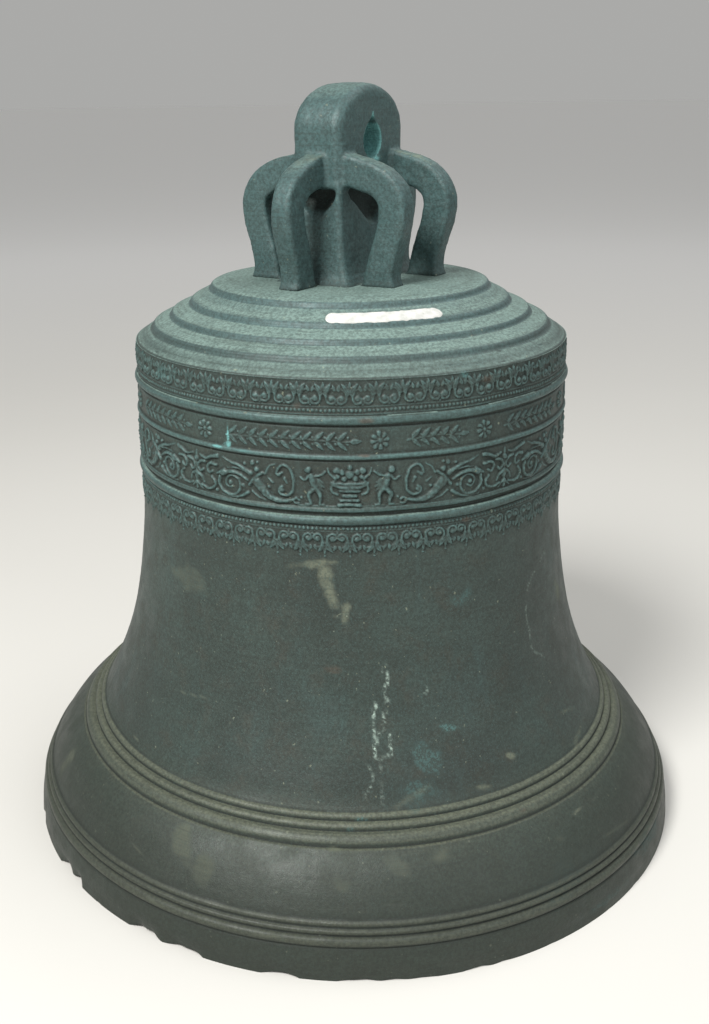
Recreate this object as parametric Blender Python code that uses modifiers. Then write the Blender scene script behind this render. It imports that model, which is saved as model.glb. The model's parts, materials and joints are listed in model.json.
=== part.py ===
"""Church bell standing on its mouth: the casting with its crown, and the clapper hung inside it.

Frame: metres, +Z up, origin at the middle of the mouth.  X runs along the wide faces of the argent
(the pierced slab at the top of the crown) and along the bar that the clapper swings about, so the
clapper swings towards +Y and -Y.
"""
import math

import bmesh
import bpy
from mathutils import Matrix, Vector

MM = 0.001
GAP = 0.3 * MM                  # clearance between pieces that touch

# ---- driving dimensions of the casting ------------------------------------------------------
LIP_RADIUS = 280 * MM           # outer radius of the mouth
HEAD_HEIGHT = 448 * MM          # mouth to the top of the crown plate
TOTAL_HEIGHT = 591 * MM         # mouth to the top of the argent
RIM_WIDTH = 9 * MM              # flat of the mouth that the bell stands on
TURN_STEPS = 48                 # facets round the bell

# Stations of the outer side, (radius, height), from the shoulder down to the mouth, without mouldings.
SIDE_STATIONS = [(171.0, 403.0), (171.5, 350.0), (171.8, 300.0), (174.0, 252.0), (177.6, 222.0),
                 (181.8, 196.0), (188.0, 168.0), (197.2, 140.0), (207.3, 117.0), (222.0, 92.0),
                 (237.5, 79.0), (250.0, 68.0), (260.0, 55.5), (267.5, 43.0), (273.5, 30.0),
                 (278.0, 16.0), (280.0, 0.0)]

# Mouldings on the side: height of the middle, half height, projection.
MOULDINGS = [(376.2, 3.2, 2.6), (350.3, 2.0, 1.8), (312.2, 1.9, 1.7), (304.0, 3.2, 2.8),
             (94.3, 1.7, 1.2), (89.5, 2.0, 1.8), (83.6, 3.2, 2.2),
             (40.0, 1.8, 1.3), (35.0, 2.0, 1.5), (28.5, 3.2, 1.9)]

# Arrises of the stepped head, (radius, height), from the crown plate out to the shoulder.
HEAD_STATIONS = [(84.0, 448.0), (104.0, 446.2), (109.4, 443.8), (110.6, 441.2), (125.6, 432.8),
                 (127.2, 430.0), (140.8, 425.0), (142.8, 421.4), (155.6, 416.4), (157.4, 412.8),
                 (165.0, 407.8), (169.6, 404.2)]

# Stations of the inner side, (radius, height), from the mouth up to the middle of the head.
INNER_STATIONS = [(258.0, 9.0), (243.0, 24.0), (236.0, 41.0), (227.0, 62.0), (213.0, 92.0),
                  (197.0, 128.0), (182.0, 168.0), (171.0, 212.0), (163.5, 262.0), (158.5, 312.0),
                  (156.0, 356.0), (152.0, 384.0), (141.0, 405.0), (122.0, 417.0), (96.0, 422.5),
                  (60.0, 424.0)]
HEAD_UNDERSIDE = 424 * MM       # height of the inside of the head at the axis

# ---- crown ----------------------------------------------------------------------------------
ARGENT_HALF_WIDTH = 47 * MM
ARGENT_THICKNESS = 43 * MM
ARGENT_FOOT = 513.5 * MM        # underside of the slab
ARGENT_SPRING = 558 * MM        # height where its arched top begins
ARGENT_EDGE = 7 * MM
HOLE_RADIUS = 12.5 * MM         # round lower part of the suspension hole
HOLE_CENTRE = 549.5 * MM
HOLE_TIP = 567.5 * MM           # point of its pointed top

CANON_WIDTH = 17 * MM
CANON_DEPTH = 23 * MM
CANON_EDGE = 3.5 * MM
CANON_TOP = 541 * MM            # top of a canon where it meets the argent
CANON_SLOPE = 9 * MM            # fall of its top from the argent to the turn
CANON_LEAN = 11 * MM            # its shaft leans out by this much as it rises
CANON_BEND = 503 * MM           # height where the shaft turns towards the argent
CANON_CORNER = 24 * MM          # outside radius of the turn
CANON_THROAT = 7 * MM           # inside radius of the turn
PAIR_OFFSET = 34 * MM           # paired canons stand this far from the middle of a wide face
PAIR_REACH = 29 * MM            # from the argent's face to the middle of a canon's foot
SINGLE_REACH = 25 * MM          # the same for the single canon on each narrow face

# Sections of the post under the argent: height, half length along X, half width along Y, then for
# its wide faces and for its narrow faces the width of the rib at each corner and the depth of the
# hollow between the ribs.
POST_SECTIONS = [(448.3, 52.0, 31.0, 43.0, 0.0, 19.0, 0.0), (455.0, 49.5, 27.5, 43.0, 0.0, 19.0, 0.0),
                 (468.0, 48.4, 25.0, 43.0, 0.0, 19.0, 0.0), (487.0, 47.6, 23.0, 43.0, 0.0, 19.0, 0.0),
                 (492.0, 47.4, 22.6, 40.0, 8.0, 19.0, 0.0), (499.0, 47.3, 22.2, 32.0, 12.0, 17.0, 2.0),
                 (506.0, 47.1, 21.9, 23.0, 13.5, 9.0, 9.0), (513.2, 47.0, 21.5, 13.0, 13.5, 3.5, 10.0)]
POST_HOLLOW_EDGE = 2 * MM       # width of the slope from a rib down into a hollow
POST_CORNER = 1.6 * MM          # cut of its upright corners

# ---- clapper and what it hangs on -------------------------------------------------------------
STAPLE_AXIS = 364 * MM          # height of the bar that the strap swings on
STAPLE_ROD = 9 * MM             # radius of the staple's iron
STAPLE_HALF_SPAN = 36 * MM
SOCKET_DEPTH = 16 * MM          # how far its legs are cast into the head
STRAP_WIDTH = 44 * MM
STRAP_THICKNESS = 7 * MM
EYE_AXIS = 268 * MM             # height of the clapper's own bar
EYE_ROD = 8 * MM
EYE_HALF_SPAN = 27 * MM
STRAP_PLAY = 0.4 * MM           # leather to iron at both bars
PLATE_THICKNESS = 4 * MM
PLATE_HALF = (20 * MM, 24 * MM)
BOLT_HEIGHTS = {"upper": 328 * MM, "lower": 304 * MM}
BOLT_RADIUS = 5 * MM
WASHER_RADIUS = 9.5 * MM
WASHER_THICKNESS = 2 * MM
NUT_HALF = 7.5 * MM
NUT_HEIGHT = 7 * MM
BOLT_HEAD_HEIGHT = 6 * MM
# Turned outline of the clapper, (radius, height), from the shaft's top to the end of the flight.
CLAPPER_PROFILE = [(9.0, 236.0), (10.0, 215.0), (11.5, 170.0), (13.5, 125.0), (17.0, 96.0),
                   (26.0, 80.0), (34.0, 66.0), (37.5, 52.0), (38.0, 44.0), (36.0, 33.0),
                   (30.0, 24.0), (20.0, 18.0), (14.0, 14.5), (12.0, 9.5)]

# Inventory label on the first step of the head: azimuth from +X and length of arc, in degrees.
LABEL_START = 204.0
LABEL_SWEEP = 41.0
LABEL_EDGES = ((124.8, 433.8), (115.2, 439.2))
LABEL_THICKNESS = 0.4 * MM

PATINA = ("bronze_patina", (0.095, 0.130, 0.115), 0.62, 0.35)
PATINA_CROWN = ("bronze_patina_crown", (0.120, 0.175, 0.165), 0.70, 0.25)
FORGED_IRON = ("forged_iron", (0.075, 0.065, 0.060), 0.60, 0.80)
LEATHER = ("strap_leather", (0.130, 0.070, 0.040), 0.75, 0.0)
LABEL_WHITE = ("label_white", (0.780, 0.770, 0.740), 0.80, 0.0)


# ---- scene helpers ----------------------------------------------------------------------------
def clear_scene():
    for obj in list(bpy.data.objects):
        bpy.data.objects.remove(obj, do_unlink=True)


def new_collection(name):
    group = bpy.data.collections.new(name)
    bpy.context.scene.collection.children.link(group)
    return group


def material(spec):
    name, colour, roughness, metallic = spec
    found = bpy.data.materials.get(name)
    if found:
        return found
    made = bpy.data.materials.new(name)
    made.use_nodes = True
    shader = made.node_tree.nodes["Principled BSDF"]
    shader.inputs["Base Color"].default_value = (*colour, 1.0)
    shader.inputs["Roughness"].default_value = roughness
    shader.inputs["Metallic"].default_value = metallic
    made.diffuse_color = (*colour, 1.0)
    return made


def add_object(name, data, spec, group):
    obj = bpy.data.objects.new(name, data)
    group.objects.link(obj)
    data.materials.append(material(spec))
    return obj


def mesh_from(bm, name):
    bmesh.ops.recalc_face_normals(bm, faces=bm.faces[:])
    data = bpy.data.meshes.new(name)
    bm.to_mesh(data)
    bm.free()
    return data


def smooth(obj, degrees=35):
    obj.data.shade_smooth()
    obj.data.set_sharp_from_angle(angle=math.radians(degrees))


def add_bevel(obj, width, segments=2, degrees=30):
    bevel = obj.modifiers.new("edges", "BEVEL")
    bevel.width = width
    bevel.segments = segments
    bevel.limit_method = "ANGLE"
    bevel.angle_limit = math.radians(degrees)
    bevel.loop_slide = False
    return bevel


def cut(obj, cutter):
    boolean = obj.modifiers.new("cut_" + cutter.name, "BOOLEAN")
    boolean.operation = "DIFFERENCE"
    boolean.solver = "EXACT"
    boolean.object = cutter
    cutter.hide_render = True
    cutter.display_type = "WIRE"


def turned(name, outline, steps, spec, group):
    """Solid of revolution about Z from an outline that runs down its outer side."""
    data = bpy.data.meshes.new(name)
    edges = [(i, i + 1) for i in range(len(outline) - 1)]
    data.from_pydata([(radius, 0.0, height) for radius, height in outline], edges, [])
    obj = add_object(name, data, spec, group)
    screw = obj.modifiers.new("turn", "SCREW")
    screw.steps = steps
    screw.render_steps = steps
    screw.use_merge_vertices = True
    screw.merge_threshold = 0.00001
    screw.use_smooth_shade = True
    return obj


def flat_outline(name, points, thickness):
    """2D outline in its own XY plane, filled and given a thickness, as welded bmesh geometry."""
    curve = bpy.data.curves.new(name, "CURVE")
    curve.dimensions = "2D"
    curve.fill_mode = "BOTH"
    curve.extrude = thickness / 2
    spline = curve.splines.new("POLY")
    spline.points.add(len(points) - 1)
    for point, (x, y) in zip(spline.points, points):
        point.co = (x, y, 0.0, 1.0)
    spline.use_cyclic_u = True
    holder = bpy.data.objects.new(name, curve)
    bpy.context.scene.collection.objects.link(holder)
    graph = bpy.context.evaluated_depsgraph_get()
    data = bpy.data.meshes.new_from_object(holder.evaluated_get(graph))
    bpy.data.objects.remove(holder, do_unlink=True)
    bpy.data.curves.remove(curve)
    bm = bmesh.new()
    bm.from_mesh(data)
    bpy.data.meshes.remove(data)
    bmesh.ops.remove_doubles(bm, verts=bm.verts[:], dist=0.00001)
    return bm


def arc(centre, radius, start, end, count):
    """Points on an arc, angles in degrees, both ends included; radius may be an (x, y) pair."""
    radius_x, radius_y = radius if isinstance(radius, tuple) else (radius, radius)
    points = []
    for i in range(count + 1):
        angle = math.radians(start + (end - start) * i / count)
        points.append((centre[0] + radius_x * math.cos(angle), centre[1] + radius_y * math.sin(angle)))
    return points


def to_metres(stations):
    return [(radius * MM, height * MM) for radius, height in stations]


# ---- casting ----------------------------------------------------------------------------------
def side_radius(height):
    """Radius of the plain outer side at a height, from a smooth curve through the stations."""
    stations = to_metres(SIDE_STATIONS)
    for i in range(len(stations) - 1):
        (r1, z1), (r2, z2) = stations[i], stations[i + 1]
        if z1 >= height >= z2:
            r0, z0 = stations[max(i - 1, 0)]
            r3, z3 = stations[min(i + 2, len(stations) - 1)]
            slope1 = (r2 - r0) / (z2 - z0)
            slope2 = (r3 - r1) / (z3 - z1)
            span = z2 - z1
            t = (height - z1) / span
            return (r1 * (2 * t ** 3 - 3 * t ** 2 + 1) + r2 * (3 * t ** 2 - 2 * t ** 3)
                    + slope1 * span * (t ** 3 - 2 * t ** 2 + t) + slope2 * span * (t ** 3 - t ** 2))
    return stations[-1][0]


def side_outline():
    """Outer side from the shoulder down, with each moulding as a blunt ridge."""
    rows = []
    for middle, half, rise in MOULDINGS:
        for offset, share in ((half, 0.0), (half * 0.45, 1.0), (-half * 0.45, 1.0), (-half, 0.0)):
            height = (middle + offset) * MM
            rows.append((side_radius(height) + share * rise * MM, height))
    clear = [height * MM for _, height in SIDE_STATIONS
             if all(abs(height - middle) > half + 1.0 for middle, half, _ in MOULDINGS)]
    rows += [(side_radius(height), height) for height in clear]
    return sorted(rows, key=lambda row: -row[1])


def bell_body(parts, cutters):
    outline = [(0.0, HEAD_HEIGHT)] + to_metres(HEAD_STATIONS) + side_outline()
    outline += [(LIP_RADIUS - RIM_WIDTH, 0.0)] + to_metres(INNER_STATIONS) + [(0.0, HEAD_UNDERSIDE)]
    body = turned("bell_body", outline, TURN_STEPS, PATINA, parts)
    for side in (-1, 1):
        bm = bmesh.new()
        depth = SOCKET_DEPTH + 10 * MM
        bmesh.ops.create_cone(bm, cap_ends=True, segments=24, radius1=STAPLE_ROD + GAP,
                              radius2=STAPLE_ROD + GAP, depth=depth)
        name = "staple_socket_" + ("left" if side < 0 else "right")
        socket = add_object(name, mesh_from(bm, name), FORGED_IRON, cutters)
        socket.location = (side * STAPLE_HALF_SPAN, 0.0, HEAD_UNDERSIDE + SOCKET_DEPTH + GAP - depth / 2)
        cut(body, socket)
    return body


def post_outline(half_x, half_y, rib_x, depth_y, rib_y, depth_x):
    """Half of a section of the post: its front face and then its right face, with cut corners."""
    floor_x = half_x - rib_x - POST_HOLLOW_EDGE
    floor_y = half_y - rib_y - POST_HOLLOW_EDGE
    front = [(-half_x + POST_CORNER, -half_y), (-half_x + rib_x, -half_y),
             (-floor_x, -half_y + depth_y), (floor_x, -half_y + depth_y),
             (half_x - rib_x, -half_y), (half_x - POST_CORNER, -half_y)]
    right = [(half_x, -half_y + POST_CORNER), (half_x, -half_y + rib_y),
             (half_x - depth_x, -floor_y), (half_x - depth_x, floor_y),
             (half_x, half_y - rib_y), (half_x, half_y - POST_CORNER)]
    return front + right


def crown_post(parts):
    """Four-sided post whose corners rise to the argent as ribs, with a hollow in each face between them."""
    bm = bmesh.new()
    rings = []
    for height, *sizes in POST_SECTIONS:
        half = post_outline(*[size * MM for size in sizes])
        outline = half + [(-x, -y) for x, y in half]
        rings.append([bm.verts.new((x, y, height * MM)) for x, y in outline])
    for below, above in zip(rings, rings[1:]):
        for k in range(len(below)):
            bm.faces.new((below[k - 1], below[k], above[k], above[k - 1]))
    bm.faces.new(list(reversed(rings[0])))
    bm.faces.new(rings[-1])
    post = add_object("crown_post", mesh_from(bm, "crown_post"), PATINA_CROWN, parts)
    smooth(post)
    return post


def argent(parts, cutters):
    """Upright slab with an arched top, pierced by a round hole with a pointed top."""
    rise = TOTAL_HEIGHT - ARGENT_SPRING
    outline = [(-ARGENT_HALF_WIDTH, ARGENT_FOOT), (ARGENT_HALF_WIDTH, ARGENT_FOOT)]
    outline += arc((0.0, ARGENT_SPRING), (ARGENT_HALF_WIDTH, rise), 0, 180, 16)
    bm = flat_outline("argent", outline, ARGENT_THICKNESS)
    bmesh.ops.rotate(bm, verts=bm.verts[:], matrix=Matrix.Rotation(math.pi / 2, 3, "X"))
    slab = add_object("argent", mesh_from(bm, "argent"), PATINA_CROWN, parts)
    add_bevel(slab, ARGENT_EDGE, segments=3, degrees=50)
    smooth(slab, 50)

    tip = HOLE_TIP - HOLE_CENTRE
    lean = math.degrees(math.acos(HOLE_RADIUS / tip))
    hole = arc((0.0, HOLE_CENTRE), HOLE_RADIUS, 90 + lean, 450 - lean, 20) + [(0.0, HOLE_TIP)]
    bm = flat_outline("argent_hole", hole, ARGENT_THICKNESS * 2)
    bmesh.ops.rotate(bm, verts=bm.verts[:], matrix=Matrix.Rotation(math.pi / 2, 3, "X"))
    cutter = add_object("argent_hole", mesh_from(bm, "argent_hole"), PATINA_CROWN, cutters)
    cut(slab, cutter)
    return slab


def canon_outline(reach):
    """Side view of one canon, x outwards from the argent's face and y the height."""
    foot = HEAD_HEIGHT + GAP
    outer = reach + CANON_DEPTH / 2
    inner = reach - CANON_DEPTH / 2
    throat = CANON_TOP - CANON_DEPTH                    # underside where it meets the argent
    turn_x = inner + CANON_LEAN - CANON_THROAT          # where the underside starts to turn down
    turn_z = throat - CANON_SLOPE * 0.75
    knee = (CANON_LEAN * 0.45, CANON_BEND - 26 * MM)    # middle of the leaning shaft
    shoulder = CANON_TOP - CANON_SLOPE
    points = [(GAP, throat), (turn_x, turn_z)]
    points += arc((turn_x, CANON_BEND), (CANON_THROAT, turn_z - CANON_BEND), 78, 0, 5)[1:]
    points += [(inner + knee[0], knee[1]), (inner, foot), (outer, foot), (outer + knee[0], knee[1])]
    points += arc((outer + CANON_LEAN - CANON_CORNER, CANON_BEND),
                  (CANON_CORNER, shoulder - CANON_BEND), 0, 78, 8)
    points += [(GAP, CANON_TOP)]
    return points


def canons(parts):
    """Six loops: two on each wide face of the argent and one on each narrow face."""
    half_thickness = ARGENT_THICKNESS / 2
    layout = [("canon_front_left", -90, (-PAIR_OFFSET, -half_thickness), PAIR_REACH),
              ("canon_front_right", -90, (PAIR_OFFSET, -half_thickness), PAIR_REACH),
              ("canon_back_right", 90, (PAIR_OFFSET, half_thickness), PAIR_REACH),
              ("canon_back_left", 90, (-PAIR_OFFSET, half_thickness), PAIR_REACH),
              ("canon_side_left", 180, (-ARGENT_HALF_WIDTH, 0.0), SINGLE_REACH),
              ("canon_side_right", 0, (ARGENT_HALF_WIDTH, 0.0), SINGLE_REACH)]
    made = []
    for name, heading, start, reach in layout:
        bm = flat_outline(name, canon_outline(reach), CANON_WIDTH)
        bmesh.ops.rotate(bm, verts=bm.verts[:], matrix=Matrix.Rotation(math.pi / 2, 3, "X"))
        loop = add_object(name, mesh_from(bm, name), PATINA_CROWN, parts)
        loop.location = (start[0], start[1], 0.0)
        loop.rotation_euler = (0.0, 0.0, math.radians(heading))
        add_bevel(loop, CANON_EDGE, segments=2, degrees=50)
        smooth(loop, 50)
        made.append(loop)
    return made


def inventory_label(parts):
    """Thin painted strip that follows the first step of the head."""
    (outer_r, outer_z), (inner_r, inner_z) = LABEL_EDGES
    section = [(outer_r, outer_z), (inner_r, inner_z)]
    bm = bmesh.new()
    corners = [bm.verts.new((radius * MM, 0.0, height * MM + GAP)) for radius, height in section]
    corners += [bm.verts.new((radius * MM, 0.0, height * MM + GAP + LABEL_THICKNESS))
                for radius, height in reversed(section)]
    face = bm.faces.new(corners)
    bmesh.ops.rotate(bm, verts=bm.verts[:], matrix=Matrix.Rotation(math.radians(LABEL_START), 3, "Z"))
    bmesh.ops.spin(bm, geom=[face], axis=(0, 0, 1), cent=(0, 0, 0), steps=12,
                   angle=math.radians(LABEL_SWEEP), use_duplicate=False)
    return add_object("inventory_label", mesh_from(bm, "inventory_label"), LABEL_WHITE, parts)


# ---- clapper hanging --------------------------------------------------------------------------
def round_rod(name, points, radius, spec, group, cyclic=False):
    """Round bar along a chain of points, as a curve with filled ends."""
    curve = bpy.data.curves.new(name, "CURVE")
    curve.dimensions = "3D"
    curve.bevel_depth = radius
    curve.bevel_resolution = 4
    curve.use_fill_caps = True
    spline = curve.splines.new("POLY")
    spline.points.add(len(points) - 1)
    for point, co in zip(spline.points, points):
        point.co = (*co, 1.0)
    spline.use_cyclic_u = cyclic
    return add_object(name, curve, spec, group)


def crown_staple(parts):
    """Iron loop cast into the head; the strap swings on its level bar."""
    top = HEAD_UNDERSIDE + SOCKET_DEPTH
    bend = 16 * MM
    corner = (STAPLE_HALF_SPAN - bend, STAPLE_AXIS + bend)
    right = [(x, 0.0, z) for x, z in arc(corner, bend, 0, -90, 6)]
    left = [(-x, y, z) for x, y, z in reversed(right)]
    points = [(STAPLE_HALF_SPAN, 0.0, top)] + right + left + [(-STAPLE_HALF_SPAN, 0.0, top)]
    return round_rod("crown_staple", points, STAPLE_ROD, FORGED_IRON, parts)


def strap_half(radius_top, radius_bottom, waist):
    """One side of a strap outline, y and height, from the top of the loop to the bottom."""
    top = arc((0.0, STAPLE_AXIS), radius_top, 90, -38, 10)
    bottom = arc((0.0, EYE_AXIS), radius_bottom, 38, -90, 10)
    neck = [(waist, STAPLE_AXIS - 22 * MM), (waist, EYE_AXIS + 22 * MM)]
    return top + neck + bottom


def clapper_strap(parts, cutters):
    """Leather strap looped over both bars, its two runs brought together between them."""
    outer = strap_half(STAPLE_ROD + STRAP_PLAY + STRAP_THICKNESS,
                       EYE_ROD + STRAP_PLAY + STRAP_THICKNESS, STRAP_THICKNESS)
    outline = outer + [(-y, z) for y, z in reversed(outer[1:-1])]
    bm = flat_outline("clapper_strap", outline, STRAP_WIDTH)
    turn = Matrix.Rotation(math.pi / 2, 3, "Z") @ Matrix.Rotation(math.pi / 2, 3, "X")
    bmesh.ops.rotate(bm, verts=bm.verts[:], matrix=turn)
    strap = add_object("clapper_strap", mesh_from(bm, "clapper_strap"), LEATHER, parts)
    place_on(strap, STAPLE_AXIS)
    for name, height, radius in (("strap_upper_eye", STAPLE_AXIS, STAPLE_ROD),
                                 ("strap_lower_eye", EYE_AXIS, EYE_ROD)):
        eye = cross_cylinder(name, radius + STRAP_PLAY, STRAP_WIDTH * 2, "X", cutters)
        eye.location = (0.0, 0.0, height)
        cut(strap, eye)
    for name, height in BOLT_HEIGHTS.items():
        hole = cross_cylinder("strap_hole_" + name, BOLT_RADIUS + GAP, 60 * MM, "Y", cutters)
        hole.location = (0.0, 0.0, height)
        cut(strap, hole)
    return strap


def place_on(obj, height):
    """Move an object's origin to the joint axis at this height without moving its geometry."""
    obj.data.transform(Matrix.Translation((0.0, 0.0, -height)))
    obj.location = (0.0, 0.0, height)


def cross_cylinder(name, radius, length, axis, group, segments=24):
    bm = bmesh.new()
    bmesh.ops.create_cone(bm, cap_ends=True, segments=segments, radius1=radius, radius2=radius,
                          depth=length)
    about = "Y" if axis == "X" else "X"
    bmesh.ops.rotate(bm, verts=bm.verts[:], matrix=Matrix.Rotation(math.pi / 2, 3, about))
    return add_object(name, mesh_from(bm, name), FORGED_IRON, group)


def block(name, size, centre, spec, group, edge):
    """Box with eased edges, from its full size and centre."""
    bm = bmesh.new()
    bmesh.ops.create_cube(bm, size=1.0)
    bmesh.ops.scale(bm, verts=bm.verts[:], vec=size)
    obj = add_object(name, mesh_from(bm, name), spec, group)
    obj.location = centre
    add_bevel(obj, edge, segments=2)
    return obj


def strap_fittings(strap, parts, cutters):
    """Two cheek plates that clamp the strap, with their bolts, washers and nuts, parented to it."""
    face = STRAP_THICKNESS + GAP                    # outer face of the doubled strap
    outside = face + PLATE_THICKNESS + GAP          # where a bolt's head and a washer sit
    fittings = [cheek_plate("strap_cheek_front", -face - PLATE_THICKNESS / 2, parts, cutters),
                cheek_plate("strap_cheek_back", face + PLATE_THICKNESS / 2, parts, cutters)]
    for level, height in BOLT_HEIGHTS.items():
        fittings.append(bolt(level, height, outside, parts))
        fittings.append(washer(level, height, outside, parts, cutters))
        fittings.append(nut(level, height, outside + WASHER_THICKNESS + GAP, parts, cutters))
    for piece in fittings:
        piece.parent = strap
        piece.location.z -= strap.location.z


def cheek_plate(name, y, parts, cutters):
    """Iron plate on one face of the strap, pierced for both bolts."""
    size = (PLATE_HALF[0] * 2, PLATE_THICKNESS, PLATE_HALF[1] * 2)
    middle = (BOLT_HEIGHTS["upper"] + BOLT_HEIGHTS["lower"]) / 2
    plate = block(name, size, (0.0, y, middle), FORGED_IRON, parts, 1.2 * MM)
    for level, height in BOLT_HEIGHTS.items():
        hole = cross_cylinder(name + "_hole_" + level, BOLT_RADIUS + GAP, 20 * MM, "Y", cutters)
        hole.location = (0.0, y, height)
        cut(plate, hole)
    return plate


def bolt(level, height, outside, parts):
    """Square-headed bolt through the strap, its head on the -Y side."""
    tail = outside + WASHER_THICKNESS + NUT_HEIGHT + 4 * MM
    bm = bmesh.new()
    bmesh.ops.create_cone(bm, cap_ends=True, segments=20, radius1=BOLT_RADIUS, radius2=BOLT_RADIUS,
                          depth=outside + tail)
    bmesh.ops.translate(bm, verts=bm.verts[:], vec=(0.0, 0.0, (tail - outside) / 2))
    rod = add_object("bolt_rod_" + level, mesh_from(bm, "bolt_rod_" + level), FORGED_IRON, parts)
    bm = bmesh.new()
    bmesh.ops.create_cube(bm, size=1.0)
    bmesh.ops.scale(bm, verts=bm.verts[:], vec=(NUT_HALF * 2, NUT_HALF * 2, BOLT_HEAD_HEIGHT))
    bmesh.ops.translate(bm, verts=bm.verts[:], vec=(0.0, 0.0, -outside - BOLT_HEAD_HEIGHT / 2))
    name = "strap_bolt_" + level
    head = add_object(name, mesh_from(bm, name), FORGED_IRON, parts)
    add_bevel(head, 1.0 * MM, segments=1, degrees=60)
    join_bodies(head, rod)
    head.rotation_euler = (-math.pi / 2, 0.0, 0.0)
    head.location = (0.0, 0.0, height)
    return head


def join_bodies(obj, other):
    """Union of two overlapping closed bodies, kept as one mesh on the first."""
    union = obj.modifiers.new("join", "BOOLEAN")
    union.operation = "UNION"
    union.solver = "EXACT"
    union.object = other
    bpy.context.view_layer.update()
    graph = bpy.context.evaluated_depsgraph_get()
    joined = bpy.data.meshes.new_from_object(obj.evaluated_get(graph))
    obj.modifiers.clear()
    obj.data = joined
    bpy.data.objects.remove(other, do_unlink=True)


def washer(level, height, outside, parts, cutters):
    ring = cross_cylinder("strap_washer_" + level, WASHER_RADIUS, WASHER_THICKNESS, "Y", parts)
    ring.location = (0.0, outside + WASHER_THICKNESS / 2, height)
    hole = cross_cylinder("washer_hole_" + level, BOLT_RADIUS + GAP, 20 * MM, "Y", cutters)
    hole.location = ring.location
    cut(ring, hole)
    return ring


def nut(level, height, outside, parts, cutters):
    size = (NUT_HALF * 2, NUT_HEIGHT, NUT_HALF * 2)
    centre = (0.0, outside + NUT_HEIGHT / 2, height)
    body = block("strap_nut_" + level, size, centre, FORGED_IRON, parts, 1.0 * MM)
    hole = cross_cylinder("nut_hole_" + level, BOLT_RADIUS + GAP, 30 * MM, "Y", cutters)
    hole.location = centre
    cut(body, hole)
    return body


def clapper(parts):
    """Forged clapper: a stirrup with a level bar, a tapering shaft, the ball and a short flight."""
    outline = [(0.0, CLAPPER_PROFILE[0][1] * MM)] + to_metres(CLAPPER_PROFILE)
    outline += [(0.0, CLAPPER_PROFILE[-1][1] * MM)]
    shaft = turned("clapper", outline, 32, FORGED_IRON, parts)
    arm_foot = CLAPPER_PROFILE[0][1] * MM - 6 * MM
    bend = 10 * MM
    shoulder = (EYE_HALF_SPAN + EYE_ROD - bend, EYE_AXIS - bend)
    right = [(x, 0.0, z) for x, z in arc(shoulder, bend, 0, 90, 5)]
    left = [(-x, y, z) for x, y, z in reversed(right)]
    knee = (EYE_HALF_SPAN + EYE_ROD, 0.0, EYE_AXIS - 18 * MM)
    loop = [(0.0, 0.0, arm_foot), knee] + right + left + [(-knee[0], 0.0, knee[2])]
    stirrup = round_rod("stirrup", loop, EYE_ROD, FORGED_IRON, parts, cyclic=True)
    graph = bpy.context.evaluated_depsgraph_get()
    data = bpy.data.meshes.new_from_object(stirrup.evaluated_get(graph))
    turned_mesh = bpy.data.meshes.new_from_object(shaft.evaluated_get(graph))
    shaft.modifiers.clear()
    shaft.data = turned_mesh
    bpy.data.objects.remove(stirrup, do_unlink=True)
    ring = bpy.data.objects.new("stirrup_mesh", data)
    parts.objects.link(ring)
    join_bodies(shaft, ring)
    place_on(shaft, EYE_AXIS)
    smooth(shaft)
    return shaft


def build():
    clear_scene()
    parts = new_collection("church_bell")
    cutters = new_collection("cutters")
    bell_body(parts, cutters)
    crown_post(parts)
    argent(parts, cutters)
    canons(parts)
    inventory_label(parts)
    crown_staple(parts)
    strap = clapper_strap(parts, cutters)
    strap_fittings(strap, parts, cutters)
    clapper(parts)


build()
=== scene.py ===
"""Looks of the church bell: the casting with its relief and patina, the crown, and the clapper set.

Lengths inside the functions are in millimetres and are turned to metres when a mesh is made.  FRONT is the
azimuth, from +X, of the side that the camera faces; azimuths in the lists below are degrees from it, with
positive ones to the right as the camera sees them.
"""
import json
import math

import bmesh
import bpy
import numpy as np
from mathutils import Matrix, Vector


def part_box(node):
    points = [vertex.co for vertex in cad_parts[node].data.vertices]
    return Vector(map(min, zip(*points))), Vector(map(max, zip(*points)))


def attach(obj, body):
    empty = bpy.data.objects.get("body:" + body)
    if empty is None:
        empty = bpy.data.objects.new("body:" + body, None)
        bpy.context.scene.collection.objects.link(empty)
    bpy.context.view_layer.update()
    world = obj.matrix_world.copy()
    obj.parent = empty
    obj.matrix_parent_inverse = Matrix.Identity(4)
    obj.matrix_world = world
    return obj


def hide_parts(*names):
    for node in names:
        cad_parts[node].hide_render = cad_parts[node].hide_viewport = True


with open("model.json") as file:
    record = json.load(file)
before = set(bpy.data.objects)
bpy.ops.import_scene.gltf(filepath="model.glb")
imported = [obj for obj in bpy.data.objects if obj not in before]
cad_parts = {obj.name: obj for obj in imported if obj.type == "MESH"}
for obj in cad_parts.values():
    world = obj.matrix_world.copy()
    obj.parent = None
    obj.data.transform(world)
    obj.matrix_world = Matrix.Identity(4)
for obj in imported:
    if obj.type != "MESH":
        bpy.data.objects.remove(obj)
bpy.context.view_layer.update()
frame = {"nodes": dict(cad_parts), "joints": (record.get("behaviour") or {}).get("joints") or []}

MM = 0.001
FRONT = 212.0
SEED = 1638
LIP = (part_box("bell_body")[1].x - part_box("bell_body")[0].x) / 2 / MM     # outer radius of the mouth
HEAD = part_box("bell_body")[1].z / MM                                      # height of the crown plate
BAND_RADIUS = 171.3                     # radius of the decorated bands
HEAD_NOISE = 600.0                      # less the radius, it is what noise on the head reads as height
DEGREE = math.radians(1.0) * BAND_RADIUS                # length of a degree round the bands

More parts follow.
